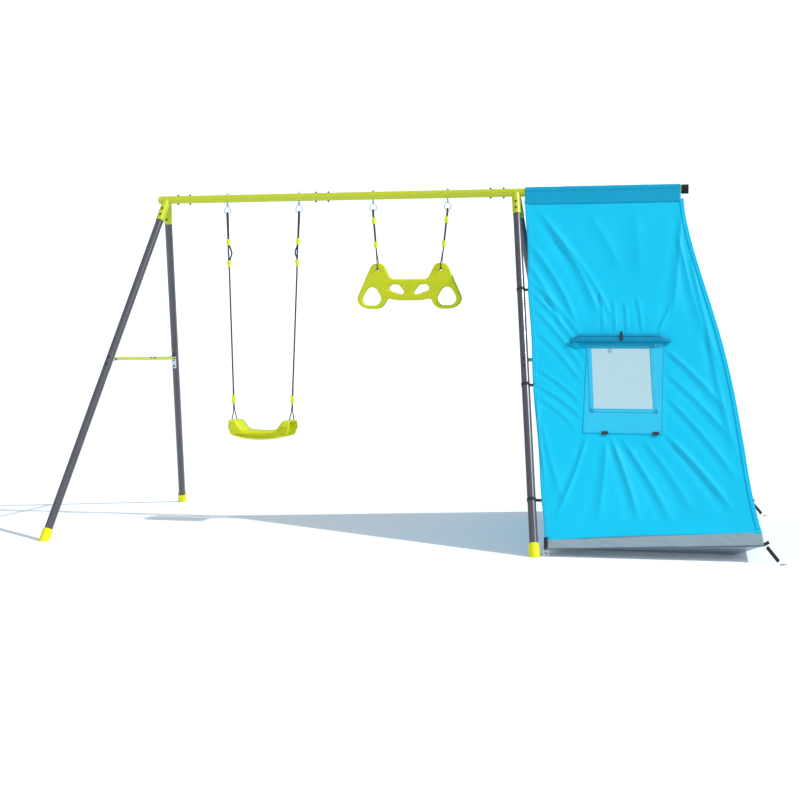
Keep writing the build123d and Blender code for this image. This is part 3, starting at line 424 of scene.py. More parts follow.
def grid_faces(rows: int, cols: int, wrap_rows: bool = False, wrap_cols: bool = False) -> Array:
    """Quads of a grid of rows by cols vertices, joined round where it wraps.

    Args:
        rows, cols: how many vertices there are each way.
        wrap_rows, wrap_cols: whether the last row or column joins the first.

    Returns:
        Vertex indices, rows by cols by 4.
    """
    r, c = np.meshgrid(np.arange(rows - (not wrap_rows)), np.arange(cols - (not wrap_cols)),
                       indexing="ij")
    r1, c1 = (r + 1) % rows, (c + 1) % cols
    return np.stack([r * cols + c, r * cols + c1, r1 * cols + c1, r1 * cols + c], axis=-1)


def sheet_piece(name: str, points: Array, uv: Array, keep: Array | None = None,
                thickness: float = 1.2 * MM) -> Piece:
    """Makes a cloth from a grid of points, rows by cols by 3, and gives it a thickness.

    Args:
        name: the object's name.
        points: the outer face, with its normal outwards when columns turn left into rows.
        uv: cloth positions in metres, rows by cols by 2.
        keep: which cells are cloth, or None for all of them.
        thickness: how far the cloth goes inwards from its outer face.

    Returns:
        The new object.
    """
    rows, cols = points.shape[:2]
    faces = grid_faces(rows, cols)
    faces = faces.reshape(-1, 4) if keep is None else faces[keep]
    piece = mesh_piece(name, points.reshape(-1, 3), faces, uv.reshape(-1, 2))
    wall = piece.modifiers.new("thickness", "SOLIDIFY")
    wall.thickness = thickness
    wall.offset = -1.0
    return piece


def dress(piece: Piece, finish: Finish, body: str, slot: str, *nodes: str) -> Piece:
    """Gives a piece its finish and body, and hides the CAD nodes it stands for.

    Args:
        piece: the object.
        finish: what it is made of.
        body: the body it moves with.
        slot: not used.
        nodes: the CAD nodes it replaces.

    Returns:
        The same object.
    """
    piece.data.materials.clear()
    piece.data.materials.append(finish.made)
    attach(piece, body)
    if nodes:
        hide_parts(*nodes)
    LOG.info("%s rides on %s", piece.name, body)
    return piece


def rounded_outline(corners: Array, radii: list[float], step: float = 3 * MM) -> Array:
    """Rounds a polygon's corners with tangent arcs.

    An arc of radius r at a corner of half-angle h starts r / tan(h) from it, and its
    centre is r / sin(h) along the bisector.

    Args:
        corners: n by 2, in order.
        radii: one for each corner.
        step: about how far apart the arc's points are.

    Returns:
        Points of the closed outline, m by 2.
    """
    ring = []
    for i, radius in enumerate(radii):
        corner, before, after = corners[i], corners[i - 1], corners[(i + 1) % len(corners)]
        back = (before - corner) / np.linalg.norm(before - corner)
        ahead = (after - corner) / np.linalg.norm(after - corner)
        half = math.acos(np.clip(back @ ahead, -1, 1)) / 2
        if radius <= 0 or half > math.pi / 2 - 1e-3:
            ring.append(corner[None])
            continue
        bisector = (back + ahead) / np.linalg.norm(back + ahead)
        centre = corner + bisector * radius / math.sin(half)
        first = corner + back * radius / math.tan(half) - centre
        last = corner + ahead * radius / math.tan(half) - centre
        start = math.atan2(first[1], first[0])
        sweep = (math.atan2(last[1], last[0]) - start + math.pi) % (2 * math.pi) - math.pi
        count = max(3, int(abs(sweep) * radius / step) + 2)
        angles = start + sweep * np.linspace(0, 1, count)
        ring.append(centre + radius * np.stack([np.cos(angles), np.sin(angles)], axis=-1))
    return np.concatenate(ring)


def both_sides(half: Array, radii: list[float]) -> tuple[Array, list[float]]:
    """Mirrors half an outline about x = 0, keeping the corners in order."""
    return np.concatenate([half, half[::-1] * (-1, 1)]), radii + radii[::-1]


def even_steps(ring: Array, step: float) -> Array:
    """Spreads points evenly along a closed outline.

    Args:
        ring: the outline's corners, n by 2.
        step: about how far apart the points are.

    Returns:
        The points, m by 2.
    """
    loop = np.concatenate([ring, ring[:1]])
    run = np.concatenate([[0], np.cumsum(np.linalg.norm(np.diff(loop, axis=0), axis=1))])
    spots = np.linspace(0, run[-1], max(12, int(run[-1] / step)), endpoint=False)
    return np.stack([np.interp(spots, run, loop[:, k]) for k in (0, 1)], axis=-1)


def outward_normals(ring: Array) -> Array:
    """Unit normals of a closed outline, pointing away from what it encloses.

    Args:
        ring: points of the outline, n by 2.

    Returns:
        One normal for each point, n by 2.
    """
    along = np.roll(ring, -1, axis=0) - np.roll(ring, 1, axis=0)
    normal = np.stack([along[:, 1], -along[:, 0]], axis=-1)
    normal /= np.linalg.norm(normal, axis=1, keepdims=True) + 1e-12
    x, z = ring[:, 0], ring[:, 1]
    turning = np.sum(x * np.roll(z, -1) - z * np.roll(x, -1))
    return normal if turning > 0 else -normal


def rounded_plate(name: str, centre: Vector, outline: Array, holes: list[Array],
                  thickness: float, inset: float, depth: float,
                  end_inset: float = 0.0, end_depth: float = 0.0) -> Piece:
    """Makes a thick plate standing in the XZ plane with softly rounded rims.

    The rim is a quarter ellipse: at angle a the loop moves inset (1 - cos a) into the
    plate while it moves depth sin a towards its face.

    Args:
        name: the object's name.
        centre: where (0, 0) of the outline lies in the model.
        outline: the outer loop, n by 2 in x and z.
        holes: inner loops.
        thickness: size along Y.
        inset: how far the rim's curve reaches into the face.
        depth: how far it reaches down the side.
        end_inset, end_depth: how much more both are where the outline faces left or right.

    Returns:
        The new object.
    """
    angles = np.linspace(0, math.pi / 2, 10)
    face = np.concatenate([angles[::-1], angles])[:, None]
    flip = np.repeat([-1.0, 1.0], len(angles))[:, None]
    points, faces, rims, base = [], [], [], 0
    for index, loop in enumerate([outline, *holes]):
        normal = outward_normals(loop) * (1 if index == 0 else -1)
        end = np.clip(normal[:, 0] * np.sign(loop[:, 0]), 0, 1)[None] ** 2 * (index == 0)
        reach = (inset + end_inset * end) * (1 - np.cos(face))
        deep = depth + end_depth * end
        x = loop[None, :, 0] - reach * normal[None, :, 0]
        z = loop[None, :, 1] - reach * normal[None, :, 1]
        y = flip * (thickness / 2 - deep + deep * np.sin(face))
        points.append(np.stack([x, y, z], axis=-1).reshape(-1, 3))
        quads = grid_faces(len(face), len(loop), wrap_cols=True).reshape(-1, 4) + base
        x0, z0 = loop[:, 0], loop[:, 1]
        turning = np.sum(x0 * np.roll(z0, -1) - z0 * np.roll(x0, -1)) > 0
        faces.append(quads[:, ::-1] if turning == (index == 0) else quads)
        rims.append(base + np.arange(len(loop)))
        base += len(face) * len(loop)
    cloud = np.concatenate(points)
    back = tessellate_polygon([[Vector((*cloud[i][[0, 2]], 0)) for i in rim] for rim in rims])
    order = np.concatenate(rims)
    lift = np.concatenate([np.full(len(rim), (len(face) - 1) * len(rim)) for rim in rims])
    flat = np.array(back)
    a, b, c = (cloud[order[flat[:, k]]][:, [0, 2]] for k in range(3))
    up = (b - a)[:, 0] * (c - a)[:, 1] - (b - a)[:, 1] * (c - a)[:, 0] > 0
    flat = np.where(up[:, None], flat, flat[:, ::-1])
    near, far = order[flat], (order + lift)[flat][:, ::-1]
    quads = np.concatenate(faces)
    triangles = np.concatenate([near, far, quads[:, [0, 1, 2]], quads[:, [0, 2, 3]]])
    return mesh_piece(name, cloud + np.array(centre), triangles)


def smooth_noise(x: Array, y: Array, size: float, seed: int, octaves: int = 3) -> Array:
    """A sum of seeded sine waves in random directions, from about -1 to 1.

    Args:
        x, y: where to measure it, in metres.
        size: length of the longest wave.
        seed: which waves.
        octaves: how many sizes, each half the last.

    Returns:
        The wave's height at each place.
    """
    rng = np.random.default_rng(seed)
    total = np.zeros_like(x, dtype=float)
    for octave in range(octaves):
        for _ in range(5):
            angle, phase = rng.uniform(0, 2 * math.pi, 2)
            pace = 2 * math.pi / (size / 2**octave) * rng.uniform(0.7, 1.3)
            total += np.sin(pace * (x * math.cos(angle) + y * math.sin(angle)) + phase) / 2**octave
    return total / 5


def ease(value: Array) -> Array:
    """Smooth step from 0 to 1, flat at both ends."""
    t = np.clip(value, 0, 1)
    return t * t * (3 - 2 * t)


@dataclass(frozen=True)
class Fold:
    """A pulled crease of cloth from start to end, given in metres in x and z."""

    start: tuple[float, float]
    end: tuple[float, float]
    width: float = 0.012            # half-width where it starts
    spread: float = 0.012           # half-width where it ends
    height: float = 0.005
    bend: float = 0.0               # how far its middle bows to its left

    def lift(self, x: Array, z: Array) -> Array:
        """Height of the crease: a sharp crest beside a soft trough, fading along its run.

        Args:
            x, z: where to measure it.

        Returns:
            Its height at each place.
        """
        run = np.array(self.end) - np.array(self.start)
        length = np.linalg.norm(run)
        run = run / length
        dx, dz = x - self.start[0], z - self.start[1]
        share = (dx * run[0] + dz * run[1]) / length
        across = dz * run[0] - dx * run[1] - self.bend * np.sin(math.pi * np.clip(share, 0, 1))
        width = self.width + (self.spread - self.width) * np.clip(share, 0, 1)
        fade = ease(share / 0.22) * ease((1 - share) / 0.3)
        crest = np.exp(0.33 - 1.5 * np.sqrt((across / width) ** 2 + 0.05))
        trough = np.exp(-((across + 1.8 * width) / (1.4 * width)) ** 2)
        return self.height * fade * (crest - 0.5 * trough)


# ---- ropes ---------------------------------------------------------------------------
def smooth_route(points: list[tuple[float, float, float]]) -> Array:
    """Reads the smooth line that a cord's control points give, as an order-3 NURBS spline.

    Args:
        points: the control points.

    Returns:
        Points along the line, n by 3.
    """
    data = bpy.data.curves.new("route", "CURVE")
    data.dimensions = "3D"
    data.resolution_u = 24
    spline = data.splines.new("NURBS")
    spline.points.add(len(points) - 1)
    for point, place in zip(spline.points, points):
        point.co = (*place, 1.0)
    spline.order_u = 3
    spline.use_endpoint_u = True
    holder = bpy.data.objects.new("route", data)
    mesh = bpy.data.meshes.new_from_object(holder)
    line = np.array([v.co[:] for v in mesh.vertices])
    bpy.data.objects.remove(holder)
    bpy.data.meshes.remove(mesh)
    return line


@dataclass
class BraidedCord:
    """A braided rope: a tube along its smooth route, its surface in diamond relief."""

    name: str
    node: str
    body: str
    points: list[tuple[float, float, float]]
    diameter: float
    length: float
    strands: int = 4
    pitch: float = 1.5              # lengths of one braid turn, in diameters

    def build(self) -> Piece:
        """Each ring stands square to the route. Its radius falls by 7% between two
        families of strands that wind opposite ways.
        """
        line = smooth_route(self.points)
        run = np.concatenate([[0], np.cumsum(np.linalg.norm(np.diff(line, axis=0), axis=1))])
        spots = np.linspace(0, run[-1], int(run[-1] / (0.22 * self.diameter)))
        spine = np.stack([np.interp(spots, run, line[:, k]) for k in range(3)], axis=-1)
        ahead = np.gradient(spine, axis=0)
        ahead /= np.linalg.norm(ahead, axis=1, keepdims=True)
        side = np.cross(ahead, (1.0, 0.0, 0.0))
        side /= np.linalg.norm(side, axis=1, keepdims=True)
        other = np.cross(ahead, side)
        angle = np.linspace(0, 2 * math.pi, 18, endpoint=False)
        twist = 2 * math.pi * spots[:, None] / (self.pitch * self.diameter)
        braid = np.maximum(np.cos(self.strands * angle + twist),
                           np.cos(self.strands * angle - twist))
        radius = self.diameter / 2 * (0.95 + 0.05 * braid)
        radius[[0, -1]] = 0
        radius[[1, -2]] *= 0.75
        ring = (side[:, None] * np.cos(angle)[None, :, None]
                + other[:, None] * np.sin(angle)[None, :, None])
        points = spine[:, None] + radius[..., None] * ring
        uv = np.stack(np.broadcast_arrays(angle[None] * self.diameter / 2, spots[:, None]), axis=-1)
        faces = grid_faces(*points.shape[:2], wrap_cols=True).reshape(-1, 4)
        piece = mesh_piece(self.name, points.reshape(-1, 3), faces, uv.reshape(-1, 2))
        dress(piece, Finish.ROPE, self.body, "grey_rope", self.node)
        return piece


@dataclass
class SwingRopes:
    """The ropes of the seat and the trapeze, from their hooks down to what they carry."""

    hook_wire_z: float = 1.758      # lowest point of a snap hook's wire
    loop_y: float = 0.0081          # rope's middle beside the wire
    strand_y: float = 0.0049        # rope's middle in the doubled stretch
    seat_hooks: tuple[float, float] = (0.363, 0.786)
    seat_holes: tuple[float, float] = (0.4025, 0.7425)
    lobe_top: float = 0.590
    bar_hooks: tuple[float, float] = (1.214, 1.635)
    bar_holes: tuple[float, float] = (1.242, 1.600)
    bar_hole_z: float = 1.431
    thick: float = 0.009
    thin: float = 0.0055

    def lean(self, x: float, hole_x: float, z: float, hole_z: float) -> float:
        """X of a rope at height z, on the straight line from its hook to its hole."""
        return at(x + (hole_x - x) * (self.hook_wire_z - z) / (self.hook_wire_z - hole_z))

    def over_hook(self, x: float) -> list[tuple[float, float, float]]:
        """Control points of the turn over a hook's wire, at rope x."""
        top, y = self.hook_wire_z + self.loop_y, self.loop_y
        return [(x, y, top - 2 * y), (x, y, top), (x, -y, top), (x, -y, top - 2 * y)]

    def build(self) -> None:
        """Builds all eight ropes."""
        for side, x, hole, inward in zip(("left", "right"), self.seat_hooks, self.seat_holes,
                                         (1, -1)):
            self.seat_rope(side, x, hole, inward)
            self.seat_loop(side, x, hole)
        for side, x, hole in zip(("left", "right"), self.bar_hooks, self.bar_holes):
            self.bar_rope(side, x, hole)
            self.bar_loop(side, x, hole)

    def seat_rope(self, side: str, x: float, hole: float, inward: int) -> None:
        """Builds a main rope: up from the lower adjuster, over the hook, down to the ferrule.

        Args:
            side: left or right.
            x: the hook, from the left apex.
            hole: the seat's hole, from the left apex.
            inward: 1 or -1, the way to the middle of the seat.
        """
        def sx(z: float) -> float:
            """X of this rope at height z."""
            return self.lean(x, hole, z, self.lobe_top)
        y = self.strand_y
        points = [
            (sx(1.486), y, 1.486),
            (sx(1.504) + 0.003 * inward, y + 0.0004, 1.504),
            (sx(1.538) + 0.020 * inward, y + 0.001, 1.536),
            (sx(1.580) + 0.002 * inward, y + 0.0002, 1.580),
            (sx(1.614), y, 1.614),
            *self.over_hook(sx(self.hook_wire_z)),
            (sx(1.614), -y, 1.614),
            (sx(1.480), -y, 1.480),
            (sx(1.440), 0, 1.440),
            (sx(1.400), 0, 1.400),
            (sx(0.706), 0, 0.706),
        ]
        BraidedCord(f"seat_main_rope_{side}", f"seat_rope_{side}", "seat_swing", points,
                    self.thick, 1.356).build()

    def seat_loop(self, side: str, x: float, hole: float) -> None:
        """Builds the thin loop from the ferrule through the two holes of one seat end.

        Args:
            side: left or right.
            x: the hook, from the left apex.
            hole: the seat's hole, from the left apex.
        """
        def sx(z: float) -> float:
            """X of this loop at height z."""
            return self.lean(x, hole, z, self.lobe_top)
        hx, low, y = at(hole), 0.5805, 0.042
        half = [
            (sx(0.706), 0.00305, 0.700),
            (sx(0.642), 0.00325, 0.642),
            (hx, y, 0.600),
            (hx, y, low),
            (hx, y - 0.0195, low),
        ]
        points = [(a, -b, c) for a, b, c in half] + half[::-1]
        BraidedCord(f"seat_end_loop_{side}", f"seat_loop_{side}", "seat_swing", points,
                    self.thin, 0.3446).build()

    def bar_rope(self, side: str, x: float, hole: float) -> None:
        """Builds a trapeze rope, doubled over its hook and through two adjusters.

        Args:
            side: left or right.
            x: the hook, from the left apex.
            hole: the trapeze's hole, from the left apex.
        """
        def bx(z: float) -> float:
            """X of this rope at height z."""
            return self.lean(x, hole, z, self.bar_hole_z)
        y = self.strand_y
        points = [(bx(1.562), y, 1.562), (bx(1.718), y + 0.0003, 1.718),
                  *self.over_hook(bx(self.hook_wire_z)),
                  (bx(1.718), -y - 0.0003, 1.718), (bx(1.562), -y, 1.562)]
        BraidedCord(f"trapeze_main_rope_{side}", f"trapeze_rope_{side}", "trapeze_swing", points,
                    self.thick, 0.419).build()

    def bar_loop(self, side: str, x: float, hole: float) -> None:
        """Builds the thin loop hitched through the hole of one trapeze lobe.

        Args:
            side: left or right.
            x: the hook, from the left apex.
            hole: the trapeze's hole, from the left apex.
        """
        def bx(z: float) -> float:
            """X of this loop at height z."""
            return self.lean(x, hole, z, self.bar_hole_z)
        hx, y, low = at(hole), 0.01895, self.bar_hole_z + 0.0015
        half = [(bx(1.558), 0.00315, 1.558), (bx(1.535), 0.00375, 1.535),
                (hx, y + 0.001, 1.468), (hx, y, low)]
        points = [(a, -b, c) for a, b, c in half] + half[::-1]
        BraidedCord(f"trapeze_end_loop_{side}", f"trapeze_loop_{side}", "trapeze_swing", points,
                    self.thin, 0.287).build()


# ---- moulded seat and ring trapeze -----------------------------------------------------
@dataclass
class MouldedSeat:
    """Blow-moulded board seat: bowed underside, fat raised ends, every rim well rounded."""

    x: float = 0.5725
    depth: float = 0.165
    skin: float = 0.006
    rim: float = 0.017
    end_rim: tuple[float, float] = (0.016, 0.028)   # how much rounder the rim is at the ends
    hole: tuple[float, float] = (0.170, 0.042)
    hole_r: float = 0.0055

    def outline(self) -> Array:
        """The seat seen from the front."""
        side = np.array([(178, 500), (203, 554), (186, 590), (138, 590), (98, 535)]) * MM
        rounds = [46, 32, 25, 28, 44]
        ring = np.concatenate([side, [(0, 0.527)], side[::-1] * (-1, 1),
                               np.array([(-90, 479), (0, 472), (90, 479)]) * MM])
        radii = [*rounds, 600, *rounds[::-1], 300, 700, 300]
        return even_steps(rounded_outline(ring, [r * MM for r in radii]), 4 * MM)

    def pocket(self) -> Array:
        """The hollow underneath, open downwards."""
        side = np.array([(172, 440), (195, 512), (212, 560), (191, 584), (141, 584),
                         (100, 529)]) * MM
        rounds = [0, 30, 18, 16, 26, 40]
        ring = np.concatenate([side, [(0, 0.520)], side[::-1] * (-1, 1)])
        radii = [*rounds, 600, *rounds[::-1]]
        return even_steps(rounded_outline(ring, [r * MM for r in radii]), 5 * MM)

    def build(self) -> None:
        """Cuts the pocket and the four rope holes out of the rounded body."""
        centre = Vector((at(self.x), 0, 0))
        body = rounded_plate("moulded_swing_seat", centre, self.outline(), [], self.depth,
                             self.rim, 1.3 * self.rim, *self.end_rim)
        hollow = rounded_plate("pocket_cutter", centre, self.pocket(), [],
                               self.depth - 2 * self.skin, 0.010, 0.018, 0.016, 0.024)
        cutters = [hollow]
        turn = np.linspace(0, 2 * math.pi, 24, endpoint=False)
        for sx in (-1, 1):
            for sy in (-1, 1):
                rings = np.stack([[self.hole_r * np.cos(turn), self.hole_r * np.sin(turn),
                                   np.full_like(turn, h)] for h in (0.55, 0.62)]).transpose(0, 2, 1)
                rings = np.concatenate([rings[:1] * (0, 0, 1), rings, rings[-1:] * (0, 0, 1)])
                rings += (at(self.x) + sx * self.hole[0], sy * self.hole[1], 0)
                cutters.append(mesh_piece("hole_cutter", rings.reshape(-1, 3),
                                          grid_faces(4, len(turn), wrap_cols=True).reshape(-1, 4)))
        for cutter in cutters:
            cut = body.modifiers.new("cut", "BOOLEAN")
            cut.object, cut.solver = cutter, "EXACT"
        seen = bpy.context.evaluated_depsgraph_get()
        solid = bpy.data.meshes.new_from_object(body.evaluated_get(seen))
        body.modifiers.clear()
        body.data = solid
        for cutter in cutters:
            bpy.data.objects.remove(cutter)
        solid.shade_smooth()
        solid.set_sharp_from_angle(angle=math.radians(35))
        dress(body, Finish.LIME_PLASTIC, "seat_swing", "lime_plastic", "swing_seat")


@dataclass
class RingTrapeze:
    """Moulded trapeze plate: two lobes that carry it, a grip bar, slots and two rings."""

    x: float = 1.421
    thickness: float = 0.030
    hole: tuple[float, float] = (0.179, 1.431)
    hole_r: float = 0.007

    def build(self) -> None:
        """Builds the plate with its rings, slots and eyes, and nearly round rims."""
        side = np.array([(104, 1381), (146, 1468), (212, 1468), (304, 1262), (257, 1215),
                         (150, 1215), (121, 1272), (62, 1262)]) * MM
        rounds = [r * MM for r in (34, 34, 34, 44, 84, 60, 14, 90)]
        outline = even_steps(rounded_outline(*both_sides(side, rounds)), 4 * MM)
        ring = np.array([(212, 1372), (290, 1236), (134, 1236)]) * MM
        slot = np.array([(116, 1335), (92, 1352), (58, 1348), (18, 1298), (50, 1298),
                         (108, 1318)]) * MM
        turn = np.linspace(0, 2 * math.pi, 28, endpoint=False)
        eye = self.hole_r * np.stack([np.cos(turn), np.sin(turn)], axis=-1) + self.hole
        grips = [even_steps(rounded_outline(ring, [0.036] * 3), 4 * MM),
                 even_steps(rounded_outline(slot, [0.010] * 6), 3 * MM), eye]
        holes = [grip * (flip, 1) for flip in (-1, 1) for grip in grips]
        plate = rounded_plate("ring_trapeze_plate", Vector((at(self.x), 0, 0)), outline, holes,
                              self.thickness, 0.0085, 0.0125)
        plate.data.set_sharp_from_angle(angle=math.radians(50))
        dress(plate, Finish.LIME_PLASTIC, "trapeze_swing", "lime_plastic", "trapeze_bar")


# ---- tent ------------------------------------------------------------------------------
RIDGE_Y, RIDGE_Z = 0.025, 1.832     # top of a wall, beside the beam
HEM_Y, HEM_Z = 0.955, 0.079         # foot of a wall
WALL_DROP = math.hypot(HEM_Y - RIDGE_Y, RIDGE_Z - HEM_Z) / (RIDGE_Z - HEM_Z)
RIDGE_LEFT, HEM_LEFT, HEM_RIGHT = 2.067, 2.285, 3.308
WALL_TOP = 1.765
EDGE_INSET = 0.004                  # left edge of a wall, right of the sleeve's end
EDGE_BOW = 0.014                    # how far that edge bows towards the leg
HEM_WIDTH = 0.022
TIE_ZS = (1.765, 1.303, 0.810, 0.257, 0.079)
EDGE_PLACES = ((1.765, 2.912), (1.596, 2.943), (1.244, 3.047), (0.866, 3.149), (0.626, 3.201),
               (0.394, 3.237), (0.281, 3.255), (0.135, 3.296))
EDGE_CURVE = np.polyfit(*zip(*EDGE_PLACES), 4)
FRONT, REAR = -1, 1
PANE = (2.472, 2.772, 0.692, 0.998)             # left, right, low and high
COVER = (2.444, 2.828, 0.578, 1.018)
CLOTH_LIFT = 2 * MM                             # outer face of a wall above its plane


def wall_y(z: Array | float) -> Array | float:
    """Distance of a sloping wall from the ridge's plane at height z."""
    return RIDGE_Y + (HEM_Y - RIDGE_Y) * (RIDGE_Z - z) / (RIDGE_Z - HEM_Z)


def left_edge(z: Array | float, scallop: float = 0.006) -> Array | float:
    """The tent's left edge: it leans, bows towards the leg and is drawn in between the ties.

    Args:
        z: height.
        scallop: how far it is drawn in between two ties.

    Returns:
        X from the left apex.
    """
    share = np.clip((WALL_TOP - z) / (WALL_TOP - HEM_Z), 0, 1)
    line = RIDGE_LEFT + EDGE_INSET + (HEM_LEFT - RIDGE_LEFT - EDGE_INSET) * share
    line = line - EDGE_BOW * np.sin(math.pi * share)
    draw = np.zeros_like(z, dtype=float)
    for high, low in zip(TIE_ZS, TIE_ZS[1:]):
        share = np.clip((high - z) / (high - low), 0, 1)
        draw = draw + scallop * min(1, (high - low) / 0.45) * np.sin(math.pi * share) ** 2
    return line + draw


def right_edge(z: Array | float) -> Array | float:
    """The tent's right edge, which sweeps outwards as it comes down."""
    return np.polyval(EDGE_CURVE, z)


def rim_z(x: Array | float) -> Array | float:
    """Top edge of the grey tub at x, higher on the right."""
    return 0.072 + 0.063 * (x - HEM_LEFT) / (HEM_RIGHT - HEM_LEFT)


def pane_slant(z: Array | float) -> Array | float:
    """How far the window is pulled to the right at height z."""
    low, high = PANE[2:]
    return 0.085 * ((low + high) / 2 - np.clip(z, low - 0.03, high + 0.03))


def seam_z(x: Array | float) -> Array | float:
    """Lower seam of the tub at x."""
    return 0.036 + 0.043 * (x - HEM_LEFT) / (HEM_RIGHT - HEM_LEFT)


def on_wall(face: int, x: Array, z: Array, lift: Array | float) -> Array:
    """Points of a sloping wall, raised along its outward normal.

    Args:
        face: FRONT or REAR.
        x, z: places on the wall, x from the left apex.
        lift: how far out they are raised.

    Returns:
        The points, with x, y and z last.
    """
    steep, flat = RIDGE_Z - HEM_Z, HEM_Y - RIDGE_Y
    size = math.hypot(steep, flat)
    y = face * (wall_y(z) + steep / size * lift)
    return np.stack(np.broadcast_arrays(at(x), y, z + flat / size * lift), axis=-1)


def flat_area(points: Array, keep: Array | None = None) -> float:
    """Area in square metres of a grid of cloth before it is creased.

    Args:
        points: rows by cols by 3.
        keep: which cells are cloth, or None for all of them.

    Returns:
        The area.
    """
    a, b = points[1:, 1:] - points[:-1, :-1], points[1:, :-1] - points[:-1, 1:]
    cells = np.linalg.norm(np.cross(a, b), axis=-1) / 2
    return float(cells.sum() if keep is None else cells[keep].sum())


FRONT_FOLDS = [
    Fold((2.13, 1.76), (2.53, 1.10), 0.016, 0.022, 0.0090, 0.030),
    Fold((2.09, 1.58), (2.41, 1.06), 0.018, 0.016, 0.0080, 0.028),
    Fold((2.10, 1.46), (2.33, 1.06), 0.012, 0.012, 0.0050, 0.018),
    Fold((2.20, 1.66), (2.60, 1.08), 0.022, 0.010, 0.0055, 0.030),
    Fold((2.12, 1.36), (2.44, 1.02), 0.010, 0.014, 0.0060, 0.014),
    Fold((2.13, 1.30), (2.46, 0.93), 0.008, 0.014, 0.0055, 0.012),
    Fold((2.14, 1.22), (2.45, 0.86), 0.010, 0.012, 0.0050, 0.016),
    Fold((2.16, 1.10), (2.45, 0.79), 0.010, 0.011, 0.0045, 0.014),
    Fold((2.18, 0.90), (2.45, 0.70), 0.008, 0.010, 0.0055, 0.012),
    Fold((2.18, 0.82), (2.46, 0.63), 0.007, 0.011, 0.0055, 0.012),
    Fold((2.19, 0.76), (2.42, 0.58), 0.009, 0.010, 0.0045, 0.014),
    Fold((2.20, 0.78), (2.29, 0.30), 0.012, 0.016, 0.0060, -0.014),
    Fold((2.23, 0.66), (2.37, 0.24), 0.020, 0.016, 0.0045, -0.010),
    Fold((2.47, 0.59), (2.32, 0.15), 0.010, 0.018, 0.0070, 0.012),
    Fold((2.56, 0.57), (2.53, 0.12), 0.014, 0.026, 0.0060, 0.006),
    Fold((2.57, 0.58), (2.74, 0.14), 0.010, 0.022, 0.0080, 0.008),
    Fold((2.62, 0.57), (2.90, 0.14), 0.012, 0.020, 0.0080, 0.010),
    Fold((2.72, 0.57), (3.00, 0.19), 0.012, 0.022, 0.0055, 0.010),
    Fold((2.82, 0.60), (3.19, 0.20), 0.010, 0.018, 0.0095, 0.012),
    Fold((2.82, 0.78), (3.21, 0.34), 0.010, 0.018, 0.0065, 0.014),
    Fold((2.81, 0.90), (3.19, 0.52), 0.010, 0.018, 0.0060, 0.014),
    Fold((2.80, 1.02), (3.16, 0.66), 0.010, 0.020, 0.0070, 0.014),
    Fold((2.68, 1.28), (2.72, 1.05), 0.010, 0.008, 0.0045, 0.004),
    Fold((2.62, 1.24), (2.64, 1.05), 0.009, 0.007, 0.0045, 0.004),
    Fold((2.56, 1.26), (2.58, 1.06), 0.010, 0.008, 0.0045, 0.006),
    Fold((2.49, 1.30), (2.52, 1.06), 0.010, 0.008, 0.0045, 0.008),
    Fold((2.86, 1.22), (2.79, 1.05), 0.010, 0.008, 0.0045, -0.004),
    Fold((2.90, 1.74), (2.86, 1.10), 0.016, 0.026, 0.0060, 0.008),
    Fold((2.88, 1.62), (3.05, 0.98), 0.012, 0.022, 0.0055, -0.010),
    Fold((2.94, 1.50), (3.12, 0.82), 0.010, 0.018, 0.0050, -0.008),
    Fold((3.02, 1.16), (3.19, 0.44), 0.010, 0.018, 0.0050, -0.008),
    Fold((2.66, 1.74), (2.70, 1.34), 0.040, 0.050, 0.0050, 0.0),
    Fold((2.40, 1.74), (2.62, 1.36), 0.030, 0.030, 0.0045, 0.012),
]
REAR_FOLDS = [
    Fold((2.12, 1.74), (2.72, 0.90), 0.018, 0.030, 0.0085, 0.040),
    Fold((2.10, 1.56), (2.58, 0.84), 0.016, 0.026, 0.0070, 0.034),
    Fold((2.12, 1.32), (2.60, 0.74), 0.010, 0.022, 0.0065, 0.026),
    Fold((2.14, 1.29), (2.74, 1.02), 0.008, 0.022, 0.0050, 0.020),
    Fold((2.18, 0.83), (2.74, 0.60), 0.008, 0.022, 0.0060, 0.020),
    Fold((2.18, 0.79), (2.58, 0.34), 0.009, 0.020, 0.0065, 0.022),
    Fold((2.24, 0.28), (2.80, 0.30), 0.008, 0.024, 0.0050, -0.014),
    Fold((2.90, 1.74), (2.66, 0.96), 0.016, 0.030, 0.0070, -0.024),
    Fold((2.94, 1.56), (2.84, 0.70), 0.014, 0.026, 0.0060, -0.020),
    Fold((3.28, 0.16), (2.86, 0.66), 0.010, 0.028, 0.0080, 0.020),
    Fold((3.26, 0.20), (3.00, 0.86), 0.010, 0.024, 0.0065, 0.016),
    Fold((2.32, 0.12), (2.62, 0.52), 0.010, 0.024, 0.0065, -0.016),
]


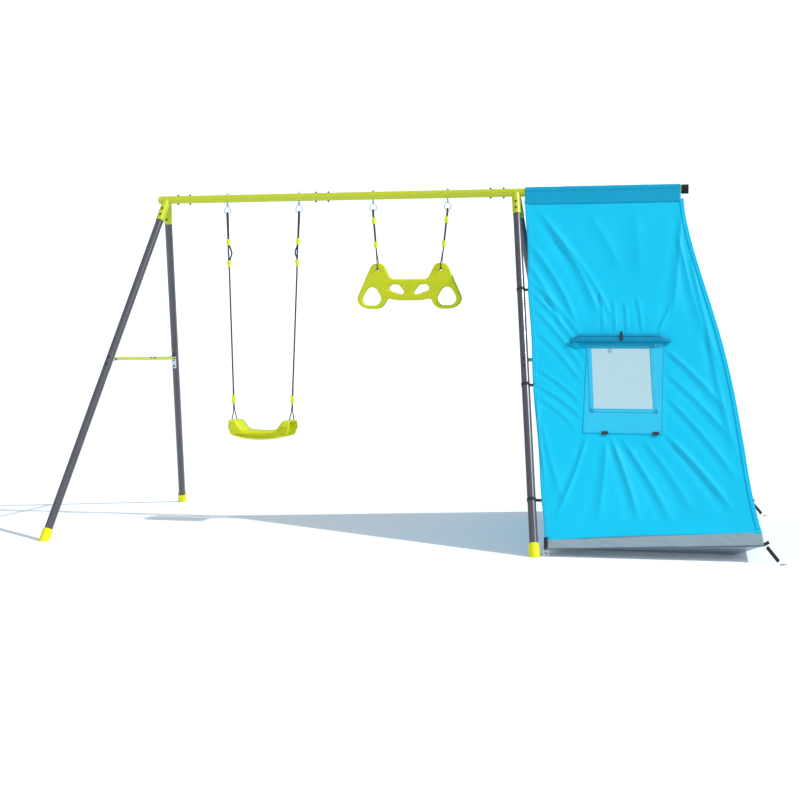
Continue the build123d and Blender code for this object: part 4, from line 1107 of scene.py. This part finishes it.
@dataclass
class SlopingWall:
    """One of the tent's two big sloping sheets, laced to the A-frame along its left edge."""

    face: int
    name: str
    node: str
    folds: list[Fold]
    seed: int
    window: bool
    top: float = 1.790
    cols: tuple[int, int, int] = (46, 44, 54)       # cells left of, across and right of the pane
    rows: tuple[int, int, int] = (90, 46, 116)      # cells below, beside and above the pane

    def crease(self, x: Array, z: Array) -> Array:
        """Height of the cloth's relief at a place: slow waves and pulled folds.

        It dies away at the ridge and under the window's flat cover.
        """
        slow = 0.0050 * smooth_noise(x, z, 1.00, self.seed, 2) + 0.0007 * smooth_noise(
            x, z, 0.16, self.seed + 1, 2)
        relief = slow + sum(fold.lift(x, z) for fold in self.folds)
        relief = relief * ease((self.top - z) / 0.05) * (0.25 + 0.75 * ease((z - rim_z(x)) / 0.05))
        if self.window:
            left, right, low, high = COVER
            across = np.minimum(x - left, right - x) / 0.03
            up = np.minimum(z - low, high - z) / 0.03
            relief = relief * (1 - 0.88 * ease(across + 0.6) * ease(up + 0.6))
        return relief

    def place(self, x: Array, z: Array, lift: float = 0.0) -> Array:
        """Points of the creased cloth's outer face, raised by lift."""
        return on_wall(self.face, x, z, CLOTH_LIFT + self.crease(x, z) + lift)

    def spread(self) -> tuple[Array, Array]:
        """X and z of every grid point, with rows and columns that meet the pane's edges.

        Returns:
            Two arrays, rows by cols.
        """
        left, right, low, high = PANE
        u = np.arange(sum(self.cols) + 1)
        v = np.arange(sum(self.rows) + 1)[:, None]
        bottom = rim_z(HEM_LEFT + (HEM_RIGHT - HEM_LEFT) * u / u[-1])[None] - 0.002
        r0, r1 = self.rows[0], self.rows[0] + self.rows[1]
        z = np.where(v < r0, bottom + (low - bottom) * v / r0,
                     np.where(v < r1, low + (high - low) * (v - r0) / (r1 - r0),
                              high + (self.top - high) * (v - r1) / (v[-1] - r1)))
        c0, c1 = self.cols[0], self.cols[0] + self.cols[1]
        left, right = left + pane_slant(z), right + pane_slant(z)
        start, stop = left_edge(z), right_edge(z)
        x = np.where(u < c0, start + (left - start) * u / c0,
                     np.where(u < c1, left + (right - left) * (u - c0) / (c1 - c0),
                              right + (stop - right) * (u - c1) / (u[-1] - c1)))
        return x, z

    def build(self) -> Piece:
        """Builds the wall, leaving out the pane's cells if it has a window."""
        x, z = self.spread()
        keep = np.ones((x.shape[0] - 1, x.shape[1] - 1), bool)
        if self.window:
            keep[self.rows[0]:self.rows[0] + self.rows[1],
                 self.cols[0]:self.cols[0] + self.cols[1]] = False
        points = self.place(x, z)
        uv = np.stack([x, (RIDGE_Z - z) * WALL_DROP], axis=-1)
        if self.face == REAR:
            points, uv, keep = points[:, ::-1], uv[:, ::-1], keep[:, ::-1]
        piece = sheet_piece(self.name, points, uv, keep)
        dress(piece, Finish.WALL_CLOTH, "frame", "blue_polyester", self.node)
        area = flat_area(on_wall(self.face, x, z, 0.0)[:, ::self.face], keep)
        return piece

    def strip(self, name: str, line: Array, width: float, finish: Finish = Finish.HEM_CLOTH,
              lift: float = 0.9 * MM) -> Piece:
        """Sews a strip on to the wall along a line.

        Args:
            name: the piece's name.
            line: the strip's middle, n by 2 in x and z.
            width: how wide it is, measured on the cloth.
            finish: what it is made of.
            lift: how far it lies above the wall.

        Returns:
            The strip, which is a piece of the wall's sheet.
        """
        flat = line * (1, WALL_DROP)
        ahead = np.gradient(flat, axis=0)
        ahead /= np.linalg.norm(ahead, axis=1, keepdims=True)
        across = np.linspace(-width / 2, width / 2, 7)
        u = flat[:, None, 0] - across * ahead[:, None, 1]
        w = flat[:, None, 1] + across * ahead[:, None, 0]
        points = self.place(u, w / WALL_DROP, lift)
        run = np.concatenate([[0], np.cumsum(np.linalg.norm(np.diff(flat, axis=0), axis=1))])
        uv = np.stack(np.broadcast_arrays(across[None], run[:, None]), axis=-1)
        order = -self.face if line[-1, 1] - line[0, 1] >= 0 else self.face
        piece = sheet_piece(name, points[:, ::-order], uv[:, ::-order], None, 0.8 * MM)
        return dress(piece, finish, "frame", "blue_polyester")

    def hems(self) -> None:
        """Sews the hems down both edges, each as far as the tub."""
        side = "front" if self.face == FRONT else "rear"
        z = np.linspace(self.top, 0.085, 240)
        line = np.stack([left_edge(z) + HEM_WIDTH / 2, z], axis=-1)
        self.strip(f"{side}_wall_left_hem", line, HEM_WIDTH)
        z = np.linspace(self.top, 0.150, 240)
        line = np.stack([right_edge(z) - HEM_WIDTH / 2, z], axis=-1)
        self.strip(f"{side}_wall_right_hem", line, HEM_WIDTH)


@dataclass
class Window:
    """Milky pane sewn into the front wall, under a clear cover with tabs and a rolled flap."""

    wall: SlopingWall
    pane_edge: float = 0.004        # how far the pane goes behind the cloth round it
    tape_out: float = 0.006         # middle of a tape, outside the pane
    tape_reach: float = 0.017       # how far a tape runs past the pane
    roll_centre: float = 2.605
    roll_half: float = 0.235
    roll_z: float = 1.040
    roll_lift: float = 0.0195       # axis of the rolled flap above the wall

    def film(self, name: str, box: tuple[float, ...], lift: float, wave: float,
             finish: Finish, node: str, seed: int, slant: float) -> Piece:
        """Builds a rectangle of film over a box of the wall, gently waved and slanted.

        Args:
            name: the piece's name.
            box: its left, right, low and high edges.
            lift: how far it lies above the wall's plane.
            wave: height of its waves.
            finish: what it is made of.
            node: the CAD node it stands for.
            seed: which waves.
            slant: share of the window's slant that it takes.

        Returns:
            The film.
        """
        left, right, low, high = box
        x, z = np.meshgrid(np.linspace(left, right, 60), np.linspace(low, high, 60))
        height = lift + wave * smooth_noise(x, z, 0.20, seed, 2)
        points = on_wall(FRONT, x + slant * pane_slant(z), z, height)
        uv = np.stack([x, (RIDGE_Z - z) * WALL_DROP], axis=-1)
        piece = sheet_piece(name, points, uv, None, 0.5 * MM)
        dress(piece, finish, "frame", "clear_pvc", node)
        return piece

    def build(self) -> None:
        """Builds the pane, its tape, the cover with its seams, and the rolled flap."""
        left, right, low, high = PANE
        edge, out, reach = self.pane_edge, self.tape_out, self.tape_reach
        self.film("window_pane_film", (left - edge, right + edge, low - edge, high + edge),
                  CLOTH_LIFT, 0.4 * MM, Finish.PANE_FILM, "window_pane", 31, 1.0)
        self.film("window_cover_film", COVER, 5.3 * MM, 0.8 * MM, Finish.COVER_FILM,
                  "window_cover", 37, 0.0)
        steps = np.linspace(0, 1, 60)
        for name, start, stop in (
                ("pane_tape_left", (left - out, low - reach), (left - out, high + reach)),
                ("pane_tape_right", (right + out, low - reach), (right + out, high + reach)),
                ("pane_tape_low", (left - reach, low - out), (right + reach, low - out)),
                ("pane_tape_high", (left - reach, high + out), (right + reach, high + out))):
            line = np.array(start) + steps[:, None] * (np.array(stop) - np.array(start))
            line[:, 0] += pane_slant(line[:, 1])
            self.wall.strip(name, line, HEM_WIDTH, lift=1.2 * MM)
        left, right, low, high = COVER
        for name, start, stop in (
                ("cover_seam_left", (left, low), (left, high)),
                ("cover_seam_right", (right, low), (right, high)),
                ("cover_seam_low", (left, low), (right, low))):
            line = np.array(start) + steps[:, None] * (np.array(stop) - np.array(start))
            self.wall.strip(name, line, 0.005, lift=3.0 * MM)
        self.flap_roll()

    def flap_roll(self) -> None:
        """Builds the rolled-up window flap: a spiral pinched by its toggle, its ends drawn out."""
        half = self.roll_half
        s = np.linspace(-half, half, 120)[None, :]
        turns, outer, inner = 6.2, 0.0185, 0.0045
        angle = np.linspace(0, 2 * math.pi * turns, 240)[:, None]
        radius = outer - (outer - inner) * angle / angle[-1]
        end = ease((np.abs(s) - 0.195) / 0.045)
        pinch = 1 - 0.16 * np.exp(-((s - 0.008) / 0.014) ** 2)
        ripple = 1 + 0.05 * smooth_noise(s * np.ones_like(angle), angle * 0.004, 0.09, 41, 2)
        shape = radius * pinch * ripple
        up = shape * np.sin(angle) * (1.28 - 0.75 * end) - 0.014 * end
        out = shape * np.cos(angle) * (0.92 - 0.55 * end)
        x = self.roll_centre + s + 0.018 * end * np.sign(s) * np.ones_like(angle)
        points = on_wall(FRONT, x, self.roll_z + up / WALL_DROP,
                         self.roll_lift + out - 0.006 * end)
        run = np.cumsum(radius * (angle[1] - angle[0]), axis=0)
        uv = np.stack(np.broadcast_arrays(s, run), axis=-1)
        piece = sheet_piece("window_flap_rolled", points, uv, None, 0.6 * MM)
        # The flap's cloth is a darker copy of the wall cloth, which is painted shade.
        dress(piece, Finish.FLAP_CLOTH, "frame", "blue_polyester", "window_flap_roll")


@dataclass
class RidgeSleeve:
    """Cloth sleeve round the beam, whose two skirts come down over the tops of the walls."""

    start: float = 2.067
    stop: float = 2.894
    radius: float = 0.0268          # outer face of the cloth round the tube
    centre_z: float = 1.847
    skirt_z: float = 1.774
    skirt_gap: float = 0.0055       # between a skirt's foot and the wall's plane

    def build(self) -> None:
        """Carries the sleeve's section along the beam and puckers it lightly.

        The section is a straight skirt, an arc over the tube and the other skirt.
        """
        foot = wall_y(self.skirt_z) + self.skirt_gap
        arc = np.radians(np.linspace(-8, 188, 40))
        over = np.stack([self.radius * np.cos(arc), self.centre_z + self.radius * np.sin(arc)],
                        axis=-1)
        share = np.linspace(0, 1, 16)[:, None]
        right = np.array([(foot, self.skirt_z)]) * (1 - share) + over[:1] * share
        left = over[-1:] * (1 - share) + np.array([(-foot, self.skirt_z)]) * share
        section = np.concatenate([right[:-1], over, left[1:]])
        run = np.concatenate([[0], np.cumsum(np.linalg.norm(np.diff(section, axis=0), axis=1))])
        x = np.linspace(self.start, self.stop, 170)
        along, around = np.meshgrid(x, run)
        ends = 1 - ease(np.minimum(along - self.start, self.stop - along) / 0.06)
        pucker = 0.8 * MM * smooth_noise(along, around, 0.10, 51, 2) + 0.6 * MM * ends * np.sin(
            along * 260 + around * 30)
        away = section - (0, self.centre_z)
        away = away / np.linalg.norm(away, axis=1, keepdims=True)
        y = section[:, None, 0] + away[:, None, 0] * pucker
        z = section[:, None, 1] + away[:, None, 1] * pucker
        points = np.stack([at(along), y, z], axis=-1)[:, ::-1]
        uv = np.stack([along, around], axis=-1)[:, ::-1]
        piece = sheet_piece("ridge_sleeve_cloth", points, uv, None, 1.0 * MM)
        # Its cloth is a darker copy of the wall cloth, which is painted shade.
        dress(piece, Finish.SLEEVE_CLOTH, "frame", "blue_polyester", "tent_ridge_sleeve")


@dataclass
class EndCloths:
    """The closed sheet behind the A-frame and the two panels beside the doorway."""

    door_top: float = 1.690
    door_half: float = 0.700
    door_foot: float = 0.135        # height where the doorway is twice door_half wide
    panel_foot: float = 0.132
    wall_foot: float = 0.073
    roll_gap: float = 0.044         # a rolled flap's axis, behind and beside its panel's edge

    def doorway(self, z: Array | float) -> Array | float:
        """Half-width of the doorway at height z."""
        return self.door_half * (self.door_top - z) / (self.door_top - self.door_foot)

    def left_wall(self) -> None:
        """Builds the closed triangular end, hollowed a little between its laced edges."""
        v = np.linspace(0, 1, 150)[:, None]
        u = np.linspace(-1, 1, 120)[None, :]
        z = self.wall_foot + (WALL_TOP - self.wall_foot) * v
        y = u * (wall_y(z) - 0.001)
        draw = left_edge(z) - left_edge(z, 0.0)
        sag = 0.010 * (1 - u**2) * np.sin(math.pi * v)
        crease = 0.005 * smooth_noise(y, z * np.ones_like(u), 0.7, 61) * (1 - np.abs(u) ** 3)
        for side in (-1, 1):
            for tie in TIE_ZS[1:4]:
                for drop in (0.30, 0.12, -0.10):
                    pull = Fold((wall_y(tie) - 0.01, tie), (0.12, tie + drop), 0.010, 0.030, 0.0065)
                    crease = crease + pull.lift(side * y, z * np.ones_like(u))
        x = left_edge(z, 0.0) + draw * np.abs(u) ** 3 + sag + crease * (1 - np.abs(u) ** 8)
        points = np.stack(np.broadcast_arrays(at(x), y, z), axis=-1)[:, ::-1]
        uv = np.stack(np.broadcast_arrays(y, z), axis=-1)[:, ::-1]
        piece = sheet_piece("left_end_cloth", points, uv)
        dress(piece, Finish.WALL_CLOTH, "frame", "blue_polyester", "tent_left_wall")

    def door_panels(self) -> None:
        """Builds the panel each side of the doorway, pulled towards its foot."""
        v = np.linspace(0, 1, 150)[:, None]
        u = np.linspace(0, 1, 40)[None, :]
        z = self.panel_foot + (WALL_TOP - self.panel_foot) * v
        inner = np.maximum(self.doorway(z), 0.001)
        for side, name in ((-1, "front"), (1, "rear")):
            y = inner + (wall_y(z) - 0.001 - inner) * u
            wide = np.ones_like(y)
            crease = 0.0035 * smooth_noise(y, z * wide, 0.35, 71 + side) + sum(
                Fold((0.95, 0.16), end, 0.009, 0.016, 0.005).lift(y, z * wide)
                for end in ((0.62, 0.62), (0.52, 0.84), (0.74, 0.40)))
            x = right_edge(z) + crease * np.sin(math.pi * u) * ease(v / 0.05)
            points = np.stack(np.broadcast_arrays(at(x), side * y, z), axis=-1)[:, ::side]
            uv = np.stack(np.broadcast_arrays(y, z), axis=-1)[:, ::side]
            piece = sheet_piece(f"{name}_door_panel", points, uv)
            dress(piece, Finish.WALL_CLOTH, "frame", "blue_polyester",
                  *(["tent_end_panels"] if side < 0 else []))

    def door_rolls(self) -> None:
        """Builds the two door flaps, each rolled into a spiral and squeezed by its ties."""
        for side, name in ((-1, "front"), (1, "rear")):
            top = self.roll_point(side, 1.480)
            foot = self.roll_point(side, 0.185)
            axis = foot - top
            length = axis.length
            axis.normalize()
            first = axis.cross(Vector((1, 0, 0))).normalized()
            second = axis.cross(first)
            turns, outer, inner = 6.0, 0.0235, 0.006
            angle = np.linspace(0, 2 * math.pi * turns, 220)[:, None]
            s = np.linspace(0, length, 160)[None, :]
            radius = outer - (outer - inner) * angle / angle[-1]
            squeeze = 1 + 0.05 * np.cos(2 * math.pi * (s / length - 0.18) / 0.32 + math.pi)
            ripple = 1 + 0.03 * smooth_noise(s + 0 * angle, angle * 0.006, 0.16, 81 + side, 2)
            shape = radius * squeeze * ripple
            points = (np.array(top) + s[..., None] * np.array(axis)
                      + (shape * np.cos(angle))[..., None] * np.array(first)
                      + (shape * np.sin(angle))[..., None] * np.array(second))
            run = np.cumsum(radius * (angle[1] - angle[0]), axis=0)
            uv = np.stack(np.broadcast_arrays(s, run), axis=-1)
            piece = sheet_piece(f"{name}_door_flap_rolled", points, uv, None, 0.7 * MM)
            dress(piece, Finish.WALL_CLOTH, "frame", "blue_polyester",
                  *(["door_flap_rolls"] if side < 0 else []))

    def roll_point(self, side: int, z: float) -> Vector:
        """A point on a rolled flap's axis, just behind the panel's inner edge.

        Args:
            side: -1 for the front flap, 1 for the rear one.
            z: its height.

        Returns:
            The point.
        """
        top_x = EDGE_PLACES[0][1]
        edge_x = HEM_RIGHT - (HEM_RIGHT - top_x) * (z - HEM_Z) / (WALL_TOP - HEM_Z)
        gap = self.roll_gap
        return Vector((at(edge_x - gap), side * (self.doorway(z) + gap), z))

    def build(self) -> None:
        """Builds the closed end, the door panels and the rolled flaps."""
        self.left_wall()
        self.door_panels()
        self.door_rolls()


@dataclass
class GroundTub:
    """Grey groundsheet that turns up into a band round the foot of the tent."""

    floor_left: float = 2.332
    floor_right: float = 3.177
    floor_half: float = 0.720
    level: float = 0.76             # share of the sheet's half-width that lies flat

    def corners(self, z_of: Callable[[float], float], left: float, right: float) -> Array:
        """Four corners in order round the tent, at the height a line of the tub has there.

        Args:
            z_of: height of the line at x.
            left, right: where it ends.

        Returns:
            The corners, 4 by 3, x from the left apex.
        """
        spots = [(left, FRONT), (right, FRONT), (right, REAR), (left, REAR)]
        return np.array([(x, face * (wall_y(z_of(x)) + 0.0015), z_of(x)) for x, face in spots])

    def band(self) -> None:
        """Builds the upright band as one strip round all four sides, creased here and there."""
        low = self.corners(seam_z, HEM_LEFT + 0.002, HEM_RIGHT - 0.003)
        high = self.corners(lambda x: rim_z(x) + 0.004, HEM_LEFT + 0.001, HEM_RIGHT - 0.012)
        per_side = 160
        share = (np.arange(4 * per_side) / per_side)
        i, t = share.astype(int), (share % 1)[:, None]
        foot = low[i] * (1 - t) + low[(i + 1) % 4] * t
        top = high[i] * (1 - t) + high[(i + 1) % 4] * t
        v = np.linspace(0, 1, 10)[:, None, None]
        points = foot[None] * (1 - v) + top[None] * v
        run = share * 1.3
        away = np.array([(0, -1, 0.4), (1, 0, 0.1), (0, 1, 0.4), (-1, 0, 0.1)])[i]
        spread, up = np.meshgrid(run, np.linspace(0, 0.06, 10))
        wave = smooth_noise(spread, up, 0.22, 91, 4)
        sharp = 1 - np.abs(smooth_noise(spread + 3 * up, up * 0.4, 0.30, 95, 2))
        rise = 1.6 * MM * wave + 2.6 * MM * sharp ** 8
        calm = ease(np.minimum(share % 1, 1 - share % 1) / 0.03)
        points = points + (rise * calm)[..., None] * away[None]
        points[..., 0] = at(points[..., 0])
        faces = grid_faces(*points.shape[:2], wrap_cols=True).reshape(-1, 4)
        uv = np.stack([spread, up], axis=-1)
        piece = mesh_piece("tub_band_sheet", points.reshape(-1, 3), faces, uv.reshape(-1, 2))
        wall = piece.modifiers.new("thickness", "SOLIDIFY")
        wall.thickness, wall.offset = 1.0 * MM, -1.0
        dress(piece, Finish.TUB_CLOTH, "frame", "grey_tub_sheet", "tub_bands")
        self.piping(low)

    def piping(self, low: Array) -> None:
        """Builds the cord piped into the seam between band and floor.

        Args:
            low: the four corners of the seam.
        """
        along = np.concatenate([low, low[:1]])
        per_side = 90
        share = np.arange(4 * per_side) / per_side
        i, t = share.astype(int), (share % 1)[:, None]
        line = along[i] * (1 - t) + along[i + 1] * t
        away = np.array([(0, -1.0, 0), (1.0, 0, 0), (0, 1.0, 0), (-1.0, 0, 0)])[i]
        turn = np.linspace(0, 2 * math.pi, 10, endpoint=False)
        r = 3.0 * MM
        points = (line[:, None] + r * np.cos(turn)[None, :, None] * away[:, None]
                  + r * np.sin(turn)[None, :, None] * np.array((0, 0, 1.0)))
        points[..., 0] = at(points[..., 0])
        faces = grid_faces(*points.shape[:2], wrap_rows=True, wrap_cols=True).reshape(-1, 4)
        uv = np.stack(np.broadcast_arrays(turn[None] * r, share[:, None]), axis=-1)
        piece = mesh_piece("tub_seam_piping", points.reshape(-1, 3), faces[:, ::-1],
                           uv.reshape(-1, 2))
        dress(piece, Finish.PIPING, "frame", "grey_tub_sheet")

    def floor(self) -> None:
        """Builds the floor and its four sloping edges as one sheet.

        Outside the flat floor the sheet rises in proportion to how far out it is.
        """
        inner_x = np.linspace(self.floor_left, self.floor_right, 70)
        x = np.concatenate([np.linspace(HEM_LEFT + 0.004, self.floor_left, 8)[:-1], inner_x,
                            np.linspace(self.floor_right, HEM_RIGHT - 0.006, 16)[1:]])[None]
        level = self.level
        s = np.concatenate([np.linspace(-1, -level, 20)[:-1], np.linspace(-level, level, 100),
                            np.linspace(level, 1, 20)[1:]])[:, None]
        out_y = np.clip((np.abs(s) - level) / (1 - level), 0, 1)
        half = self.floor_half + (wall_y(seam_z(x)) - self.floor_half) * out_y
        y = np.where(np.abs(s) < level, s / level * self.floor_half, np.sign(s) * half)
        out_x = np.maximum((self.floor_left - x) / (self.floor_left - HEM_LEFT - 0.004),
                           (x - self.floor_right) / (HEM_RIGHT - 0.006 - self.floor_right))
        out = np.maximum(np.clip(out_x, 0, 1), out_y)
        wide = np.ones_like(out)
        ripple = smooth_noise(x * wide, y * wide, 0.30, 97)
        z = 0.003 + (seam_z(x) - 0.003) * out + 1.2 * MM * np.abs(ripple) * (1 - out)
        z = z + 2.5 * MM * ripple * np.sin(math.pi * out)
        points = np.stack(np.broadcast_arrays(at(x * wide), y, np.maximum(z, 0.0025)), axis=-1)
        uv = np.stack([x * wide, y * wide], axis=-1)
        piece = sheet_piece("groundsheet_cloth", points, uv, None, 1.0 * MM)
        dress(piece, Finish.TUB_CLOTH, "frame", "grey_tub_sheet", "groundsheet")

    def build(self) -> None:
        """Builds the band, its piping and the floor."""
        self.band()
        self.floor()


# ---- everything that stays as the steelwork's own shape ----------------------------------
SLOT_FINISH = {
    "lime_powder_coat": Finish.LIME_COAT,
    "grey_leg_paint": Finish.LEG_COAT,
    "black_bolt": Finish.BOLT_COAT,
    "zinc_plate": Finish.ZINC,
    "lime_plastic": Finish.LIME_PLASTIC,
    "black_plastic": Finish.BLACK_PLASTIC,
    "black_webbing": Finish.WEBBING,
}


YELLOW_NODES = ("seat_rope_adjusters", "trapeze_rope_adjusters", "rope_ferrules", "foot_caps")


def dress_steelwork() -> None:
    """Gives every CAD node that is still shown the finish of its material slot."""
    slots = {part["node"]: part["material_slot"] for part in frame["record"]["subparts"]}
    for node, piece in frame["nodes"].items():
        finish = Finish.YELLOW_PLASTIC if node in YELLOW_NODES else SLOT_FINISH.get(slots[node])
        if finish and not piece.hide_render:
            for place in piece.material_slots:
                place.material = finish.made


@dataclass
class Studio:
    """Pale floor, white sky, a low sun, a soft fill and a camera at eye height."""

    camera_x: float = 3.0225
    camera_y: float = -7.7389
    camera_z: float = 0.9732
    turn: tuple[float, float, float] = (math.pi / 2 - 0.0334, -0.0022, 0.2105)
    lens: float = 63.97
    floor_half: float = 30.0
    sky_tint: str = "#E6F1FF"
    sky_light: float = 0.54         # strength of the sky as a light
    sky_seen: float = 1.40          # strength of the sky as the camera sees it, plain white
    sun_way: tuple[float, float, float] = (-1.0, 0.16, -1.05)
    sun_power: float = 3.0
    sun_angle: float = 0.02         # apparent width of the sun, which softens the shadows
    middle: tuple[float, float, float] = (0.2, 0, 0.9)

    def build(self) -> None:
        """Builds the floor, the sky, the two lights and the camera."""
        corners = self.floor_half * np.array([(-1, -1, 0), (1, -1, 0), (1, 1, 0), (-1, 1, 0)])
        floor = mesh_piece("studio_floor", corners, np.array([[0, 1, 2, 3]]))
        floor.data.materials.append(Finish.FLOOR.made)
        self.sky()
        self.lamp("fill", (-3.0, -6.0, 3.0), 4.0, 60.0)
        self.sun()
        self.camera()

    def sky(self) -> None:
        """Lights the set evenly from a pale blue sky that the camera sees as plain white."""
        world = bpy.data.worlds.new("studio_world")
        world.use_nodes = True
        tree = world.node_tree
        sky = tree.nodes["Background"]
        sky.inputs["Color"].default_value = linear(self.sky_tint)
        ray = tree.nodes.new("ShaderNodeLightPath")
        reach = tree.nodes.new("ShaderNodeMapRange")
        reach.inputs["To Min"].default_value = self.sky_light
        reach.inputs["To Max"].default_value = self.sky_seen
        tree.links.new(ray.outputs["Is Camera Ray"], reach.inputs["Value"])
        tree.links.new(reach.outputs["Result"], sky.inputs["Strength"])
        bpy.context.scene.world = world

    def sun(self) -> None:
        """Adds the sun, on the right, which throws long narrow shadows."""
        sun = bpy.data.objects.new("sun", bpy.data.lights.new("sun", "SUN"))
        sun.data.energy, sun.data.angle = self.sun_power, self.sun_angle
        sun.rotation_euler = Vector(self.sun_way).to_track_quat("-Z", "Y").to_euler()
        bpy.context.scene.collection.objects.link(sun)

    def camera(self) -> None:
        """Adds the camera and shows its picture without a tone curve."""
        camera = bpy.data.objects.new("camera", bpy.data.cameras.new("camera"))
        camera.data.lens = self.lens
        camera.data.sensor_width = 36.0
        camera.location = (at(self.camera_x), self.camera_y, self.camera_z)
        camera.rotation_euler = self.turn
        scene = bpy.context.scene
        scene.collection.objects.link(camera)
        scene.camera = camera
        scene.view_settings.view_transform = "Standard"

    def lamp(self, name: str, place: tuple[float, float, float], size: float,
             power: float) -> None:
        """Adds one square soft light aimed at the middle of the set.

        Args:
            name: the light's name.
            place: where it stands.
            size: its side.
            power: its energy in watts.
        """
        light = bpy.data.lights.new(name, "AREA")
        light.size, light.energy = size, power
        holder = bpy.data.objects.new(name, light)
        holder.location = place
        aim = Vector(self.middle) - Vector(place)
        holder.rotation_euler = aim.to_track_quat("-Z", "Y").to_euler()
        bpy.context.scene.collection.objects.link(holder)


def main() -> None:
    """Builds the whole set in order."""
    logging.basicConfig(level=logging.INFO, format="%(name)s: %(message)s")
    Studio().build()
    SwingRopes().build()
    MouldedSeat().build()
    RingTrapeze().build()
    front = SlopingWall(FRONT, "front_wall_cloth", "tent_front_wall", FRONT_FOLDS, 11, True)
    rear = SlopingWall(REAR, "rear_wall_cloth", "tent_rear_wall", REAR_FOLDS, 21, False)
    for wall in (front, rear):
        wall.build()
        wall.hems()
    Window(front).build()
    RidgeSleeve().build()
    EndCloths().build()
    GroundTub().build()
    dress_steelwork()


if __name__ == "__main__":
    main()
